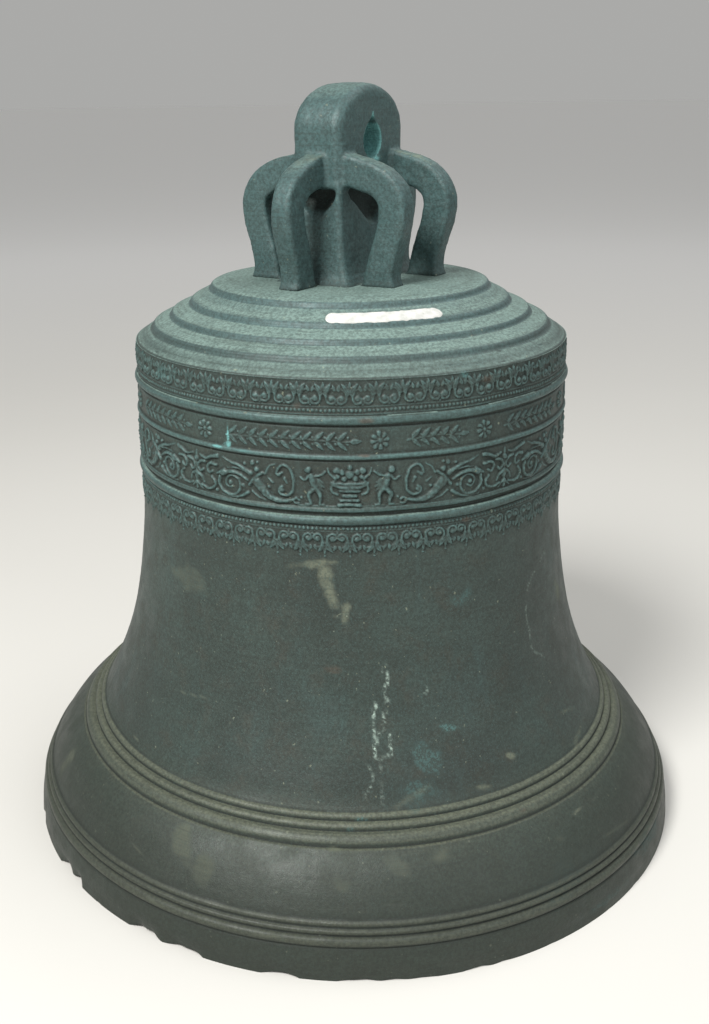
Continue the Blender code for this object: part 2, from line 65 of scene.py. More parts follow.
# ---- outline of the casting ----------------------------------------------------------------------
# Plain outer side, (height, radius), from the mouth up to the rim of the upper frieze.
SIDE = [(0, LIP), (16, 278), (30, 273.5), (43, 267.5), (55.5, 260), (68, 250), (79, 237.5), (92, 222),
        (117, 207.3), (140, 197.2), (168, 188), (196, 181.8), (222, 177.6), (252, 174), (300, 171.8),
        (350, 171.5), (372, 171.1), (404, 170.4)]
# Stepped head, (radius, height), from its middle out to the rim of the upper frieze.
STEPS = [(78, HEAD), (84, 447.9), (95, 447.2), (103, 446.3), (106.6, 445.6), (108.6, 444.7), (109.7, 443.4),
         (110.3, 441.9), (111.2, 440.9), (113.2, 439.7), (119, 436.5), (123.2, 434.5), (125.2, 433.2),
         (126.3, 431.8), (126.9, 430.4), (127.9, 429.5), (130.5, 428.5), (135, 427), (138.8, 425.8),
         (140.8, 424.8), (141.9, 423.4), (142.5, 422), (143.5, 421), (146, 420), (150.5, 418.4),
         (153.8, 417.1), (155.7, 416), (156.8, 414.6), (157.3, 413.2), (158.4, 412.1), (161, 410.4),
         (165, 407.8), (168, 405.8), (169.6, 404.8), (170.4, 404)]
# Inner side, (height, radius), from the mouth up.
INSIDE = [(9, 258), (24, 243), (41, 236), (62, 227), (92, 213), (128, 197), (168, 182), (212, 171),
          (262, 163.5), (312, 158.5), (356, 156), (384, 152), (405, 141)]
DOME = [(141, 405), (122, 417), (96, 422.5), (60, 424), (2, 424.4)]
RIM_WIDTH = 9.0
RIM_EASE = (16.0, 3.8)                  # point where the inside has begun to rise: in from the lip, and up
LIP_INNER = 262.0                       # inside points beyond this radius rise where the lip is broken
EVEN_BELOW, EVEN_SHARE = 5.0, 0.2       # the casting is this much more even close to the mouth
# Round mouldings on the side: height of the middle, half height, projection.
MOULDINGS = [(404.3, 0.6, 0.6), (385.7, 0.5, 0.5), (380.4, 0.5, 0.5), (376.2, 3.2, 2.6), (371.6, 0.7, -0.7),
             (350.3, 2, 1.8), (347.3, 0.9, -0.6), (312.2, 1.9, 1.7), (308.6, 1.7, -0.9),
             (304, 3.2, 2.8), (300.1, 0.6, -0.5), (296.1, 0.5, 0.5),
             (94.3, 1.7, 1.2), (92, 0.6, -0.5), (89.5, 1.9, 1.8), (87.1, 0.6, -0.6), (83.6, 3, 2.2),
             (79.8, 0.8, -0.6), (40, 1.8, 1.3), (37.6, 0.7, -0.6), (35, 1.9, 1.5), (32.6, 0.7, -0.6),
             (28.5, 3, 1.9), (24.8, 0.7, -0.6)]
# Heights where the casting is divided into rings, from the rim of the upper frieze down.
UPPER_FRIEZE, INSCRIPTION, MAIN_FRIEZE, ROLLS = 404.0, 379.4, 346.2, 313.6
LOWER_FRIEZE, WAIST, SOUND_BOW, LIP_BAND = 300.1, 272.0, 98.0, 23.0

# ---- marks of age, (azimuth, height, width, height of mark, tilt in degrees, strength) ---------
PALE_MARKS = [(-9, 271, 28, 6, 8, 0.7), (-5, 254, 13, 36, 14, 0.8),
              (-0.8, 236, 8, 20, -8, 0.75), (-30, 69, 26, 14, -20, 0.7),
              (-24.5, 58, 12, 17, 25, 0.65), (-1.5, 61, 18, 8, -35, 0.4),
              (8, 70, 22, 7, -30, 0.45), (15, 73, 16, 7, 10, 0.55),
              (44, 71.5, 12, 1.6, 4, 1), (-53, 102, 14, 2.4, 6, 0.8),
              (68, 203, 16, 18, 10, 0.6), (35, 115, 8, 4, -20, 0.8),
              (56, 121, 28, 4, -12, 0.5), (27, 101, 12, 2.4, -8, 0.7),
              (57, 100, 34, 4.5, 16, 0.5), (-12, 29, 16, 1.8, 6, 0.9),
              (-31, 28, 20, 2.4, -8, 0.7), (-68, 58, 12, 16, 0, 0.9),
              (-6.5, 28.5, 14, 9, 0, 0.35), (50, 49, 40, 2.2, -6, 0.5),
              (-3, 79, 10, 1.6, 0, 0.9), (38, 63, 10, 4, -20, 0.4),
              (12, 104, 26, 3, 24, 0.4), (-38, 54, 22, 1.6, -14, 0.5),
              (-40, 153, 60, 1.4, 8, 0.35), (-45, 240, 40, 20, 0, 0.25),
              (112, 196, 15, 44, 8, 0.6), (150, 66, 40, 15, -12, 0.6),
              (-128, 152, 12, 62, -6, 0.5), (-160, 70, 30, 12, 10, 0.6)]
GREEN_MARKS = [(-29.8, 353, 9, 7, 0, 1), (-29.9, 361.5, 3.6, 22, 0, 1),
               (-33, 350.6, 13, 2.2, 0, 0.9), (-26, 350.4, 18, 1.6, 0, 0.6),
               (22, 145, 24, 5, -14, 0.5), (16, 126, 22, 26, 0, 0.4),
               (27, 238, 22, 12, 10, 0.35), (13, 106, 26, 20, 0, 0.35),
               (60, 22, 60, 16, 0, 0.5), (35, 40, 60, 30, 0, 0.2),
               (44, 9, 70, 7, 0, 0.45), (2, 93, 12, 2, 0, 0.6),
               (0, 88, 8, 2, 0, 0.5), (27.5, 402, 9, 4, 0, 0.6),
               (-53, 394, 30, 12, 0, 0.35), (125, 356, 6, 16, 0, 0.8),
               (176, 120, 50, 30, 0, 0.35), (-110, 92, 30, 4, 0, 0.5)]
RUST_MARKS = [(3.4, 351.2, 12, 2.6, 0, 1), (3.2, 376, 12, 4.5, 0, 0.8),
              (-12, 385, 10, 5, 0, 0.6), (33.5, 397, 11, 7, 0, 0.7),
              (29, 297, 8, 3, 0, 0.7), (-4, 193, 10, 5, 0, 0.5),
              (33, 83, 9, 2.4, 0, 0.6), (-140, 349, 14, 3, 0, 0.8),
              (6, 436, 8, 1.6, 0, 0.7)]
# Lime runs and cracks as chains of (azimuth, height) with a half width in millimetres.
RUNS = [([(8.8, 194), (8.2, 197.5), (7.4, 193), (7.3, 190.5)], 0.6, 0.6),
        ([(8.4, 190), (8.6, 184), (7.6, 178), (8.2, 170), (7.8, 163), (7.2, 158)], 0.9, 0.8),
        ([(5.7, 168), (5.1, 161), (4.9, 152), (5.2, 143), (5, 135), (6, 129.5), (7.4, 131),
          (8.6, 139), (8.2, 147), (7.2, 150.5), (6.3, 147), (5.6, 141)], 0.8, 1),
        ([(7.4, 155), (6.6, 153), (6.9, 148)], 0.6, 0.7),
        ([(6.4, 128), (6, 118), (6.3, 108), (5.8, 96)], 0.5, 0.35),
        ([(3.6, 127), (4.3, 121), (3.9, 112), (2.9, 108)], 0.6, 0.55),
        ([(2.9, 106), (2.2, 97)], 0.5, 0.3),
        ([(17.6, 176), (17, 172)], 0.7, 0.9),
        ([(61, 246), (56, 241), (50.5, 230), (48.4, 215), (48.8, 196), (50, 176),
          (53.5, 168)], 0.7, 0.5),
        ([(-168, 240), (-166, 205), (-169, 170), (-167, 140)], 1.2, 0.7)]


# ---- numbers on curves and fields ----------------------------------------------------------------
def hermite(where, stations):
    """Smooth curve through (place, value) stations in rising order of place, read at an array of places."""
    xs, ys = np.array(stations, float).T
    slopes = np.gradient(ys, xs)
    i = np.clip(np.searchsorted(xs, where) - 1, 0, len(xs) - 2)
    span = xs[i + 1] - xs[i]
    t = (where - xs[i]) / span
    return (ys[i] * (2 * t ** 3 - 3 * t ** 2 + 1) + ys[i + 1] * (3 * t ** 2 - 2 * t ** 3)
            + slopes[i] * span * (t ** 3 - 2 * t ** 2 + t) + slopes[i + 1] * span * (t ** 3 - t ** 2))


def lengths_along(points):
    """Length from the start of a chain to each of its points."""
    return np.concatenate([[0.0], np.cumsum(np.linalg.norm(np.diff(points, axis=0), axis=1))])


def smooth_line(points, step):
    """Points about a step apart on a smooth curve through hand-set points of any dimension."""
    points = np.array(points, float)
    along = lengths_along(points)
    where = np.linspace(0.0, along[-1], max(int(along[-1] / step), 2) + 1)
    if len(points) < 3:
        return np.stack([np.interp(where, along, column) for column in points.T], 1)
    return np.stack([hermite(where, np.stack([along, column], 1)) for column in points.T], 1)


def on_arc(middle, half_width, rise, degrees):
    """Points (across, up) on an arc about a middle that is straight above zero."""
    return [(half_width * math.cos(math.radians(a)), middle + rise * math.sin(math.radians(a)))
            for a in degrees]


def turn_from(azimuth, place):
    """Degrees from a place round the bell, -180 to 180."""
    return (azimuth - place + 180.0) % 360.0 - 180.0


def read_between(grid, i, j, j_next, s, t):
    """Values between four neighbours in a grid, at shares s from row i and t from column j."""
    first = grid[i, j] * (1 - t) + grid[i, j_next] * t
    second = grid[i + 1, j] * (1 - t) + grid[i + 1, j_next] * t
    return first * (1 - s) + second * s


def highest(*reliefs):
    return np.maximum.reduce(reliefs)


def value_noise(azimuth, height, cell_deg, cell_mm, seed):
    """Smooth noise from -1 to 1 over the side of the bell, without a seam round it."""
    rng = np.random.default_rng(SEED + seed)
    columns = max(int(round(360.0 / cell_deg)), 1)
    rows = int(600.0 / cell_mm) + 3
    lattice = rng.uniform(-1.0, 1.0, (rows, columns))
    u = (azimuth % 360.0) / 360.0 * columns
    v = np.clip(height / cell_mm, 0, rows - 2)
    i, j = np.floor(v).astype(int), np.floor(u).astype(int)
    s, t = v - i, u - j
    s, t = s * s * (3 - 2 * s), t * t * (3 - 2 * t)
    return read_between(lattice, i, j % columns, (j + 1) % columns, s, t)


def layered_noise(azimuth, height, cell_deg, cell_mm, seed, layers=3):
    total = 0.0
    for layer in range(layers):
        total = total + value_noise(azimuth, height, cell_deg / 2 ** layer, cell_mm / 2 ** layer,
                                    seed + layer) / 2 ** layer
    return total / 1.5


def ridge(distance, half, rise):
    """Half-round ridge or groove across a distance from its middle."""
    t = np.clip(np.abs(distance) / half, 0.0, 1.0)
    return rise * np.sqrt(1.0 - t * t)


def stroke(u, z, points, start, end, rise, spread=0.5):
    """Relief of one drawn stroke on a field of (u, z) places: round in section, tapering between radii."""
    line = smooth_line(points, spread)
    radii = np.linspace(start, end, len(line))
    relief = np.zeros_like(u)
    for (x, y), radius in zip(line, radii):
        square = ((u - x) ** 2 + (z - y) ** 2) / radius ** 2
        np.maximum(relief, np.sqrt(np.clip(1.0 - square, 0.0, 1.0)) * rise * min(radius, 1.4) / 1.4,
                   out=relief)
    return relief


def leaf(u, z, root, tip, width, rise):
    """Relief of a leaf: widest at a third of its length, pointed at the tip, with a sunk midrib."""
    axis = np.array(tip, float) - np.array(root, float)
    length = math.hypot(*axis)
    along = ((u - root[0]) * axis[0] + (z - root[1]) * axis[1]) / length ** 2
    across = ((u - root[0]) * -axis[1] + (z - root[1]) * axis[0]) / length
    inside = np.clip(along, 0.0, 1.0)
    half = width * np.sin(math.pi * inside ** 0.7) ** 0.8 + 0.01
    body = np.sqrt(np.clip(1.0 - (across / half) ** 2, 0.0, 1.0)) * ((along > 0.0) & (along < 1.0))
    return rise * body * (1.0 - 0.35 * np.exp(-(across / 0.35) ** 2))


def ball(u, z, centre, radius, rise):
    square = ((u - centre[0]) ** 2 + (z - centre[1]) ** 2) / radius ** 2
    return rise * np.sqrt(np.clip(1.0 - square, 0.0, 1.0))


# ---- relief of the bands -------------------------------------------------------------------------
PALMETTES_UPPER = 60
PALMETTES_LOWER = 62


def palmette(u, z, half):
    """Half of one palmette, u from the stem at 0 to the middle of the lyre at half; z up from its foot."""
    lyre = [(0.7, 7.6), (half - 7.2, 6.4), (half - 6.6, 2.9), (half - 3.8, 0.7), (half - 1.2, 1.6),
            (half - 0.9, 3.7), (half - 2.2, 4.9)]
    arm = [(half - 7.0, 5.6), (half - 5.4, 9.4), (half - 2.0, 11.4)]
    return highest(stroke(u, z, lyre, 0.95, 1.1, 1.5, 0.3), stroke(u, z, arm, 1.1, 0.7, 1.4, 0.3),
                   ball(u, z, (half - 3.4, 4.2), 2.4, 1.4), ball(u, z, (half, 0.2), 0.9, 0.9),
                   leaf(u, z, (0.5, 8.0), (5.4, 14.6), 1.9, 1.3),
                   leaf(u, z, (0.0, 9.5), (0.0, 16.0), 1.3, 1.2),
                   leaf(u, z, (half - 1.0, 9.0), (half - 2.6, 13.6), 1.3, 1.0))


def palmette_band(azimuth, z, count, foot, direction):
    """Row of palmettes round the bell; direction is 1 upright and -1 hanging."""
    period = 360.0 / count
    place = (azimuth % period) * DEGREE
    half = period * DEGREE / 2
    return palmette(half - np.abs(place - half), (z - foot) * direction, half)


def pearl_row(azimuth, z, middle, count=360, radius=1.2):
    period = 360.0 / count
    place = ((azimuth % period) - period / 2) * DEGREE
    return ball(place, z, (0.0, middle), radius, 0.85)


def rosette(u, z, middle):
    """Eight petals round a boss."""
    relief = ball(u, z, (0.0, middle), 1.7, 1.2)
    for k in range(8):
        petal = [on_arc(middle, reach, reach, [45.0 * k + 8.0])[0] for reach in (2.2, 5.2)]
        relief = highest(relief, stroke(u, z, petal, 0.7, 1.75, 1.2, 0.4))
    return relief


def sprig(u, z, length, middle):
    """Laurel sprig lying along the band: a stem with paired leaves and a berry between each pair."""
    relief = stroke(u, z, [(-length / 2, middle - 1), (0, middle + 0.8), (length / 2, middle - 0.6)],
                    0.8, 0.6, 1.1)
    pairs = int(length / 8.0)
    for k in range(pairs):
        x = -length / 2 + 3.0 + k * (length - 5.0) / pairs
        for side in (-1, 1):
            root, tip = (x, middle + side * 0.4), (x + 6.6, middle + side * 6.6)
            berry = ball(u, z, (x + 7.0, middle + side * 2.2), 0.95, 0.9)
            relief = highest(relief, leaf(u, z, root, tip, 1.7, 1.15), berry)
    return highest(relief, leaf(u, z, (length / 2 - 1, middle - 0.5), (length / 2 + 6.5, middle), 1.9, 1.15))


ROSETTES = [-176, -142, -106, -72, -36.8, 6.9, 33.2, 68, 100, 138]
BAND_MIDDLE = 361.8


def inscription_band(azimuth, z):
    relief = np.zeros_like(azimuth)
    for k, place in enumerate(ROSETTES):
        following = ROSETTES[k + 1] if k + 1 < len(ROSETTES) else ROSETTES[0] + 360.0
        offset = turn_from(azimuth, place)
        relief = highest(relief, rosette(offset * DEGREE, z, BAND_MIDDLE) * (np.abs(offset) < 5.0))
        middle, room = (place + following) / 2, (following - place) * DEGREE - 38.0
        offset = turn_from(azimuth, middle)
        near = np.abs(offset) * DEGREE < room / 2 + 12.0
        relief = highest(relief, sprig(offset * DEGREE, z, room, BAND_MIDDLE) * near)
    return relief


PANEL = 80.0                # degrees taken by one panel of the main frieze
# Strokes of half a panel, u from its middle: points, first and last radius.
SCROLLS = [([(0, 331.4), (12.5, 331.8)], 1.3, 1.2), ([(0, 329), (7, 329.2), (11, 330.6)], 2, 1),
           ([(0, 326.4), (6.6, 326.4)], 1.5, 1.2), ([(0, 322.6), (4, 322.6)], 1.7, 1.4),
           ([(0, 319.6), (6, 319.4)], 1.2, 1.1), ([(0, 316.4), (7.2, 316)], 1.6, 1.5),
           ([(9.8, 334.6), (12.4, 330), (12, 325.4), (8.6, 323.6)], 0.9, 1.1),
           ([(10, 335.6), (13.4, 338.4), (15, 342.6)], 1.3, 0.6),
           ([(8, 314.9), (36, 314.7)], 0.6, 0.6),
           ([(35.2, 318.6), (37.4, 320), (39.2, 317.8), (37.6, 315.8), (35.4, 316.2)], 0.8, 0.9),
           ([(51.6, 336.6), (50.4, 340.6), (47, 343.2), (43, 341.8), (40, 336.8), (39.2, 330),
             (40.4, 324.4), (44.2, 321.4), (48.4, 322.2), (49.8, 325.4), (47.6, 327.6)], 1, 1.1),
           ([(47.2, 337.8), (50, 335.8)], 0.8, 1.3),
           ([(38.4, 319), (44.6, 317.4), (52, 317.6), (58, 320.4), (62.6, 325), (66.8, 329.8)], 0.9, 3.8),
           ([(62, 336.4), (66.6, 333), (72.4, 326.4)], 1.2, 1.3),
           ([(73.2, 336), (80, 339.4), (88, 341), (94.6, 343.6)], 1.7, 0.5),
           ([(60, 336), (57, 341), (52.8, 343.4)], 1, 0.5),
           ([(75.6, 336.6), (84, 337), (91, 336.2)], 1.1, 0.5),
           ([(74, 329.6), (81, 333.2), (88.4, 334), (94.6, 331.4)], 1, 1.9),
           ([(93, 333.6), (99.6, 330.4)], 2.1, 1),
           ([(96.8, 329), (97.8, 323.6), (94.4, 318.6), (88.6, 316.8), (82.8, 318.8), (80, 323.8),
             (81.2, 329), (85.6, 331.2), (90.4, 329.4), (91.8, 325.2), (89.4, 322.2),
             (86.2, 323.2)], 1.3, 0.9),
           ([(73.6, 320.6), (80, 316.8), (90, 315.2), (96, 315.4)], 1.4, 0.6),
           ([(70, 322), (66, 318.6), (60, 316.4)], 0.9, 0.5),
           ([(99, 343.6), (104, 342.4), (110.4, 340), (116, 341.6)], 1.6, 0.8),
           ([(100, 336.6), (105.6, 337), (109, 333.4), (107, 329.8), (103.8, 331.4)], 1.3, 1),
           ([(104.6, 326.8), (101.6, 323.4), (103.4, 319.2), (109.4, 317.4), (115, 319)], 1.1, 1),
           ([(111, 337.6), (115.6, 336.6), (118.4, 332.4), (115.6, 329.4), (112.8, 331.4)], 1.3, 1),
           ([(119.7, 344), (119.7, 316)], 0.8, 1.2),
           ([(119, 328), (114.4, 325), (112.4, 321)], 1.6, 0.7),
           ([(119, 320), (114, 315.8)], 1.3, 0.6),
           ([(54, 330), (57.4, 333)], 0.9, 0.5), ([(44, 330.6), (45.6, 333.8)], 0.8, 1.2)]
# Fruit and bosses of half a panel: middle and radius.
BOSSES = [((0, 338.4), 3.2), ((3.8, 335.2), 2.2), ((5.2, 339.8), 2.2), ((0, 343.2), 1.8),
          ((9, 341), 2.4), ((8.6, 336.6), 1.8), ((47.6, 325), 1.7), ((66.4, 338.2), 2.2),
          ((71.4, 335), 2.3), ((69.8, 342.6), 1.9), ((66, 343.6), 1.2), ((76, 341.6), 1.3),
          ((88.2, 325.8), 1.9), ((102.6, 323.4), 1.1), ((119.7, 338), 2.4), ((119.7, 325), 2.6),
          ((57.2, 326.6), 1.2), ((77.6, 325), 1.5), ((100.2, 318), 1.4), ((33.4, 320.4), 1)]
# A small winged child, as on many such friezes: head, limbs and wing as strokes.
CHILD = [([(28.6, 341.2), (28.8, 340.6)], 2.3, 2.3), ([(26.4, 336.6), (24.8, 331.2)], 2.2, 2.7),
         ([(24.8, 330.6), (23.6, 327.6)], 2.7, 2.3), ([(28, 336.6), (31.6, 333.6), (34.4, 335.4)], 1.1, 0.8),
         ([(24.6, 336.4), (20.4, 337.4), (16.6, 340)], 1.1, 0.9),
         ([(22.6, 327.4), (20.4, 323.2), (20.8, 317.2)], 1.9, 1),
         ([(25.4, 327), (28.6, 322.8), (27.2, 317.2)], 1.9, 1),
         ([(20.8, 316.2), (17.8, 315.8)], 1, 0.8), ([(27.2, 316.2), (30.4, 315.8)], 1, 0.8)]
WINGS = [((24, 335), (17.4, 331.4)), ((23.6, 333.4), (16.8, 328)), ((23.4, 331.8), (17.8, 325.4))]


def main_frieze(azimuth, z):
    """Panels with an urn of fruit, children, horns of plenty and scrolls, each mirrored about its middle."""
    step = 0.25
    grid_u, grid_z = np.meshgrid(np.arange(-4.0, PANEL * DEGREE / 2 + 4.0, step),
                                 np.arange(ROLLS - 1.0, MAIN_FRIEZE + 1.0, step))
    tile = np.zeros_like(grid_u)
    for points, start, end in SCROLLS + CHILD:
        np.maximum(tile, stroke(grid_u, grid_z, points, start, end, 1.75, 0.4), out=tile)
    for centre, radius in BOSSES:
        np.maximum(tile, ball(grid_u, grid_z, centre, radius, 0.8 + radius * 0.35), out=tile)
    for root, tip in WINGS:
        np.maximum(tile, leaf(grid_u, grid_z, root, tip, 1.3, 1.1), out=tile)
    local = np.abs((azimuth + PANEL / 2) % PANEL - PANEL / 2) * DEGREE
    column = np.clip((local + 4.0) / step, 0, tile.shape[1] - 1.001)
    row = np.clip((z - ROLLS + 1.0) / step, 0, tile.shape[0] - 1.001)
    i, j = row.astype(int), column.astype(int)
    return read_between(tile, i, j, j + 1, row - i, column - j)


def upper_frieze(azimuth, z):
    return highest(palmette_band(azimuth, z, PALMETTES_UPPER, 387.2, 1), pearl_row(azimuth, z, 383.1))


def lower_frieze(azimuth, z):
    period = 360.0 / PALMETTES_LOWER
    place = ((azimuth + period / 2) % period - period / 2) * DEGREE
    return highest(palmette_band(azimuth, z, PALMETTES_LOWER, 295.0, -1), pearl_row(azimuth, z, 298.3, 350),
                   ball(place, z, (0.0, 277.9), 0.9, 0.9))


# ---- rings of the casting ------------------------------------------------------------------------
def relief_wear(azimuth, z):
    """Share of the relief that is left after wear and a soft casting."""
    return np.clip(1.02 + 0.34 * layered_noise(azimuth, z, 9.0, 22.0, 40), 0.5, 1.3)


def side_height(azimuth, z, pattern):
    """Height of mouldings and relief over the plain side."""
    wave = 0.45 * value_noise(azimuth, z * 0.0, 14.0, 10.0, 3)      # strips pressed on by hand
    height = np.zeros_like(z)
    for middle, half, rise in MOULDINGS:
        height = height + ridge(z + wave * (rise > 0) * (middle > 270) - middle, half, rise)
    if pattern:
        shift_u = 0.34 * value_noise(azimuth, z, 1.25, 3.4, 31) / DEGREE
        shift_z = 0.30 * value_noise(azimuth, z, 1.1, 3.0, 33)
        grain = 1.0 + 0.26 * value_noise(azimuth, z, 0.6, 1.7, 35)
        height = height + pattern(azimuth + shift_u, z + wave + shift_z) * relief_wear(azimuth, z) * grain
    return height


def casting_flaws(azimuth, z):
    """Slow unevenness of a hand-struck mould and small pits."""
    slow = 0.28 * layered_noise(azimuth, z, 24.0, 60.0, 7)
    lathe = 0.05 * value_noise(azimuth * 0.0, z, 360.0, 2.6, 11)
    pits = np.clip(value_noise(azimuth, z, 1.3, 4.0, 13) - 0.86, 0.0, 1.0) * -3.0
    return slow + lathe + pits


def lip_damage(azimuth, z):
    """How far the lip is broken back: (inwards, upwards), mostly on the left of the front."""
    left = np.exp(-(turn_from(azimuth, -42.0) / 30.0) ** 2)
    back = np.exp(-(turn_from(azimuth, 150.0) / 26.0) ** 2)
    amount = 0.18 + 0.95 * np.maximum(left, 0.7 * back)
    bites = np.clip(value_noise(azimuth, z * 0.0, 5.0, 10.0, 21) * 0.8
                    + value_noise(azimuth, z * 0.0, 2.1, 10.0, 22) * 0.55, 0.0, 1.0)
    near = np.clip(1.0 - z / 13.0, 0.0, 1.0) ** 1.5
    return amount * bites * near * 4.6, amount * bites * near * 5.6


def blurred(field, passes):
    for _ in range(passes):
        field = (np.roll(field, 1, 1) + 2 * field + np.roll(field, -1, 1)) / 4
        padded = np.pad(field, ((1, 1), (0, 0)), "edge")
        field = (padded[:-2] + 2 * field + padded[2:]) / 4
    return field


def across_from(azimuth, place, radius):
    """Millimetres round the side from a place, at a radius."""
    return turn_from(azimuth, place) * math.radians(1.0) * radius


def chain_distance(azimuth, z, points, radius):
    """Distance in millimetres on the surface from a chain of (azimuth, height) points."""
    line = smooth_line(points, 1.0)
    nearest = np.full(azimuth.shape, 1e6)
    for a, h in line:
        nearest = np.minimum(nearest, across_from(azimuth, a, radius) ** 2 + (z - h) ** 2)
    return np.sqrt(nearest)


def mark_field(azimuth, z, radius, marks, seed):
    """Blotches with ragged edges, 0 to 1."""
    field = np.zeros_like(azimuth)
    ragged = layered_noise(azimuth, z, 3.0, 8.0, seed, 4)
    for place, height, width, tall, tilt, strength in marks:
        x, y = across_from(azimuth, place, radius), z - height
        turn = math.radians(tilt)
        along = (x * math.cos(turn) + y * math.sin(turn)) / (width / 2)
        across = (-x * math.sin(turn) + y * math.cos(turn)) / (tall / 2)
        edge = 1.15 - np.sqrt(along ** 2 + across ** 2) + ragged * 0.75
        field = np.maximum(field, np.clip(edge * 1.6, 0.0, 1.0) * strength)
    return field


def lime_runs(azimuth, z, radius):
    field = np.zeros_like(azimuth)
    broken = 0.62 + 0.9 * layered_noise(azimuth, z, 1.2, 5.0, 90)
    for points, half, strength in RUNS:
        distance = chain_distance(azimuth, z, points, radius)
        shape = np.clip(1.5 - distance / half, 0.0, 1.0) * np.clip(broken, 0, 1.2)
        field = np.maximum(field, shape * strength)
    return np.clip(field, 0.0, 1.0)


def set_field(data, name, channels):
    """Four values on each vertex, which the patina reads."""
    layer = data.attributes.new(name, "FLOAT_COLOR", "POINT")
    values = np.stack([np.broadcast_to(c, channels[0].shape) for c in channels], -1)
    layer.data.foreach_set("color", values.astype(np.float32).ravel())


def grid_mesh(name, points, weights, strips, flat_rows, caps=()):
    """Closed body from rows of points round the axis; the last row joins the first unless caps are given."""
    rows, columns = points.shape[:2]
    closed = not caps
    i = np.arange(rows if closed else rows - 1)
    j = np.arange(columns)
    first, second = np.meshgrid(i, j, indexing="ij")
    below, beside = (first + 1) % rows, (second + 1) % columns
    quads = np.stack([first * columns + second, below * columns + second,
                      below * columns + beside, first * columns + beside], -1).reshape(-1, 4)
    data = bpy.data.meshes.new(name)
    data.vertices.add(rows * columns)
    data.vertices.foreach_set("co", (points * MM).astype(np.float32).ravel())
    extra = [np.arange(columns)[::-1] + row * columns if row == 0 else np.arange(columns) + row * columns
             for row in (r % rows for r in caps)]
    corners = np.concatenate([quads.ravel()] + extra).astype(np.int32)
    data.loops.add(len(corners))
    data.loops.foreach_set("vertex_index", corners)
    sizes = np.array([4] * len(quads) + [columns] * len(extra), np.int32)
    data.polygons.add(len(sizes))
    data.polygons.foreach_set("loop_start", (np.cumsum(sizes) - sizes).astype(np.int32))
    data.polygons.foreach_set("use_smooth", ~np.concatenate([np.isin(first.ravel(), flat_rows),
                                                             np.ones(len(extra), bool)]))
    lay_out(data, first, second, weights, columns, strips, len(corners))
    data.update(calc_edges=True)
    data.validate()
    return data


def lay_out(data, first, second, weights, columns, strips, total):
    """Texture layout: the ring cut into equal lengths that are stacked one above the other."""
    edge = 0.004
    each = columns // strips
    strip, local = second // each, second % each
    places = np.concatenate([[0.0], np.cumsum(weights)]) / np.sum(weights)
    left, right = (edge + (1 - 2 * edge) * (local + k) / each for k in (0, 1))
    top, bottom = ((strip + 0.03 + 0.94 * places[first + k]) / strips for k in (0, 1))
    corners = np.stack([left, top, left, bottom, right, bottom, right, top], -1).reshape(-1, 2)
    uv = np.zeros((total, 2), np.float32)
    uv[:len(corners)] = corners
    layer = data.uv_layers.new(name="OFBake")
    layer.uv.foreach_set("vector", uv.ravel())


def as_mesh(name, bm):
    data = bpy.data.meshes.new(name)
    bm.to_mesh(data)
    bm.free()
    return data


def set_in_scene(name, data):
    obj = bpy.data.objects.new(name, data)
    bpy.context.scene.collection.objects.link(obj)
    return obj


def show(name, data, body, material, slot, *nodes):
    """Puts a mesh in the scene as a piece of the object."""
    obj = set_in_scene(name, data)
    data.materials.append(material)
    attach(obj, body)
    if nodes:
        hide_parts(*nodes)


def show_body(bm, name, body, material, slot, *nodes):
    """The same for a body that is still open for editing."""
    data = as_mesh(name, bm)
    data.shade_smooth()
    show(name, data, body, material, slot, *nodes)


def outward(outline):
    """Unit normals, away from the metal, of an outline that runs down the outside."""
    tangent = np.gradient(outline, axis=0)
    tangent /= np.linalg.norm(tangent, axis=1)[:, None]
    return np.stack([-tangent[:, 1], tangent[:, 0]], 1)


def side_rows(top, bottom, step):
    """Points down the plain outer side, evenly spaced along it."""
    z = np.linspace(top, bottom, 400)
    along = lengths_along(np.stack([hermite(z, SIDE), z], 1))
    where = np.linspace(0.0, along[-1], int(along[-1] / step) + 1)
    z = np.interp(where, along, z)
    return np.stack([hermite(z, SIDE), z], 1)


def inner_rows(bottom, top, step):
    z = np.linspace(bottom, top, max(int((top - bottom) / step), 1) + 1)
    return np.stack([hermite(z, INSIDE), z], 1)


def with_borders(outline, gap=0.03):
    """Adds a row close to each end, so that the cut faces do not bend the shading of the side."""
    borders = []
    for end, beside in ((outline[0], outline[1]), (outline[-1], outline[-2])):
        borders.append(end + (beside - end) * gap / np.linalg.norm(beside - end))
    return np.concatenate([outline[:1], borders[:1], outline[1:-1], borders[1:], outline[-1:]])


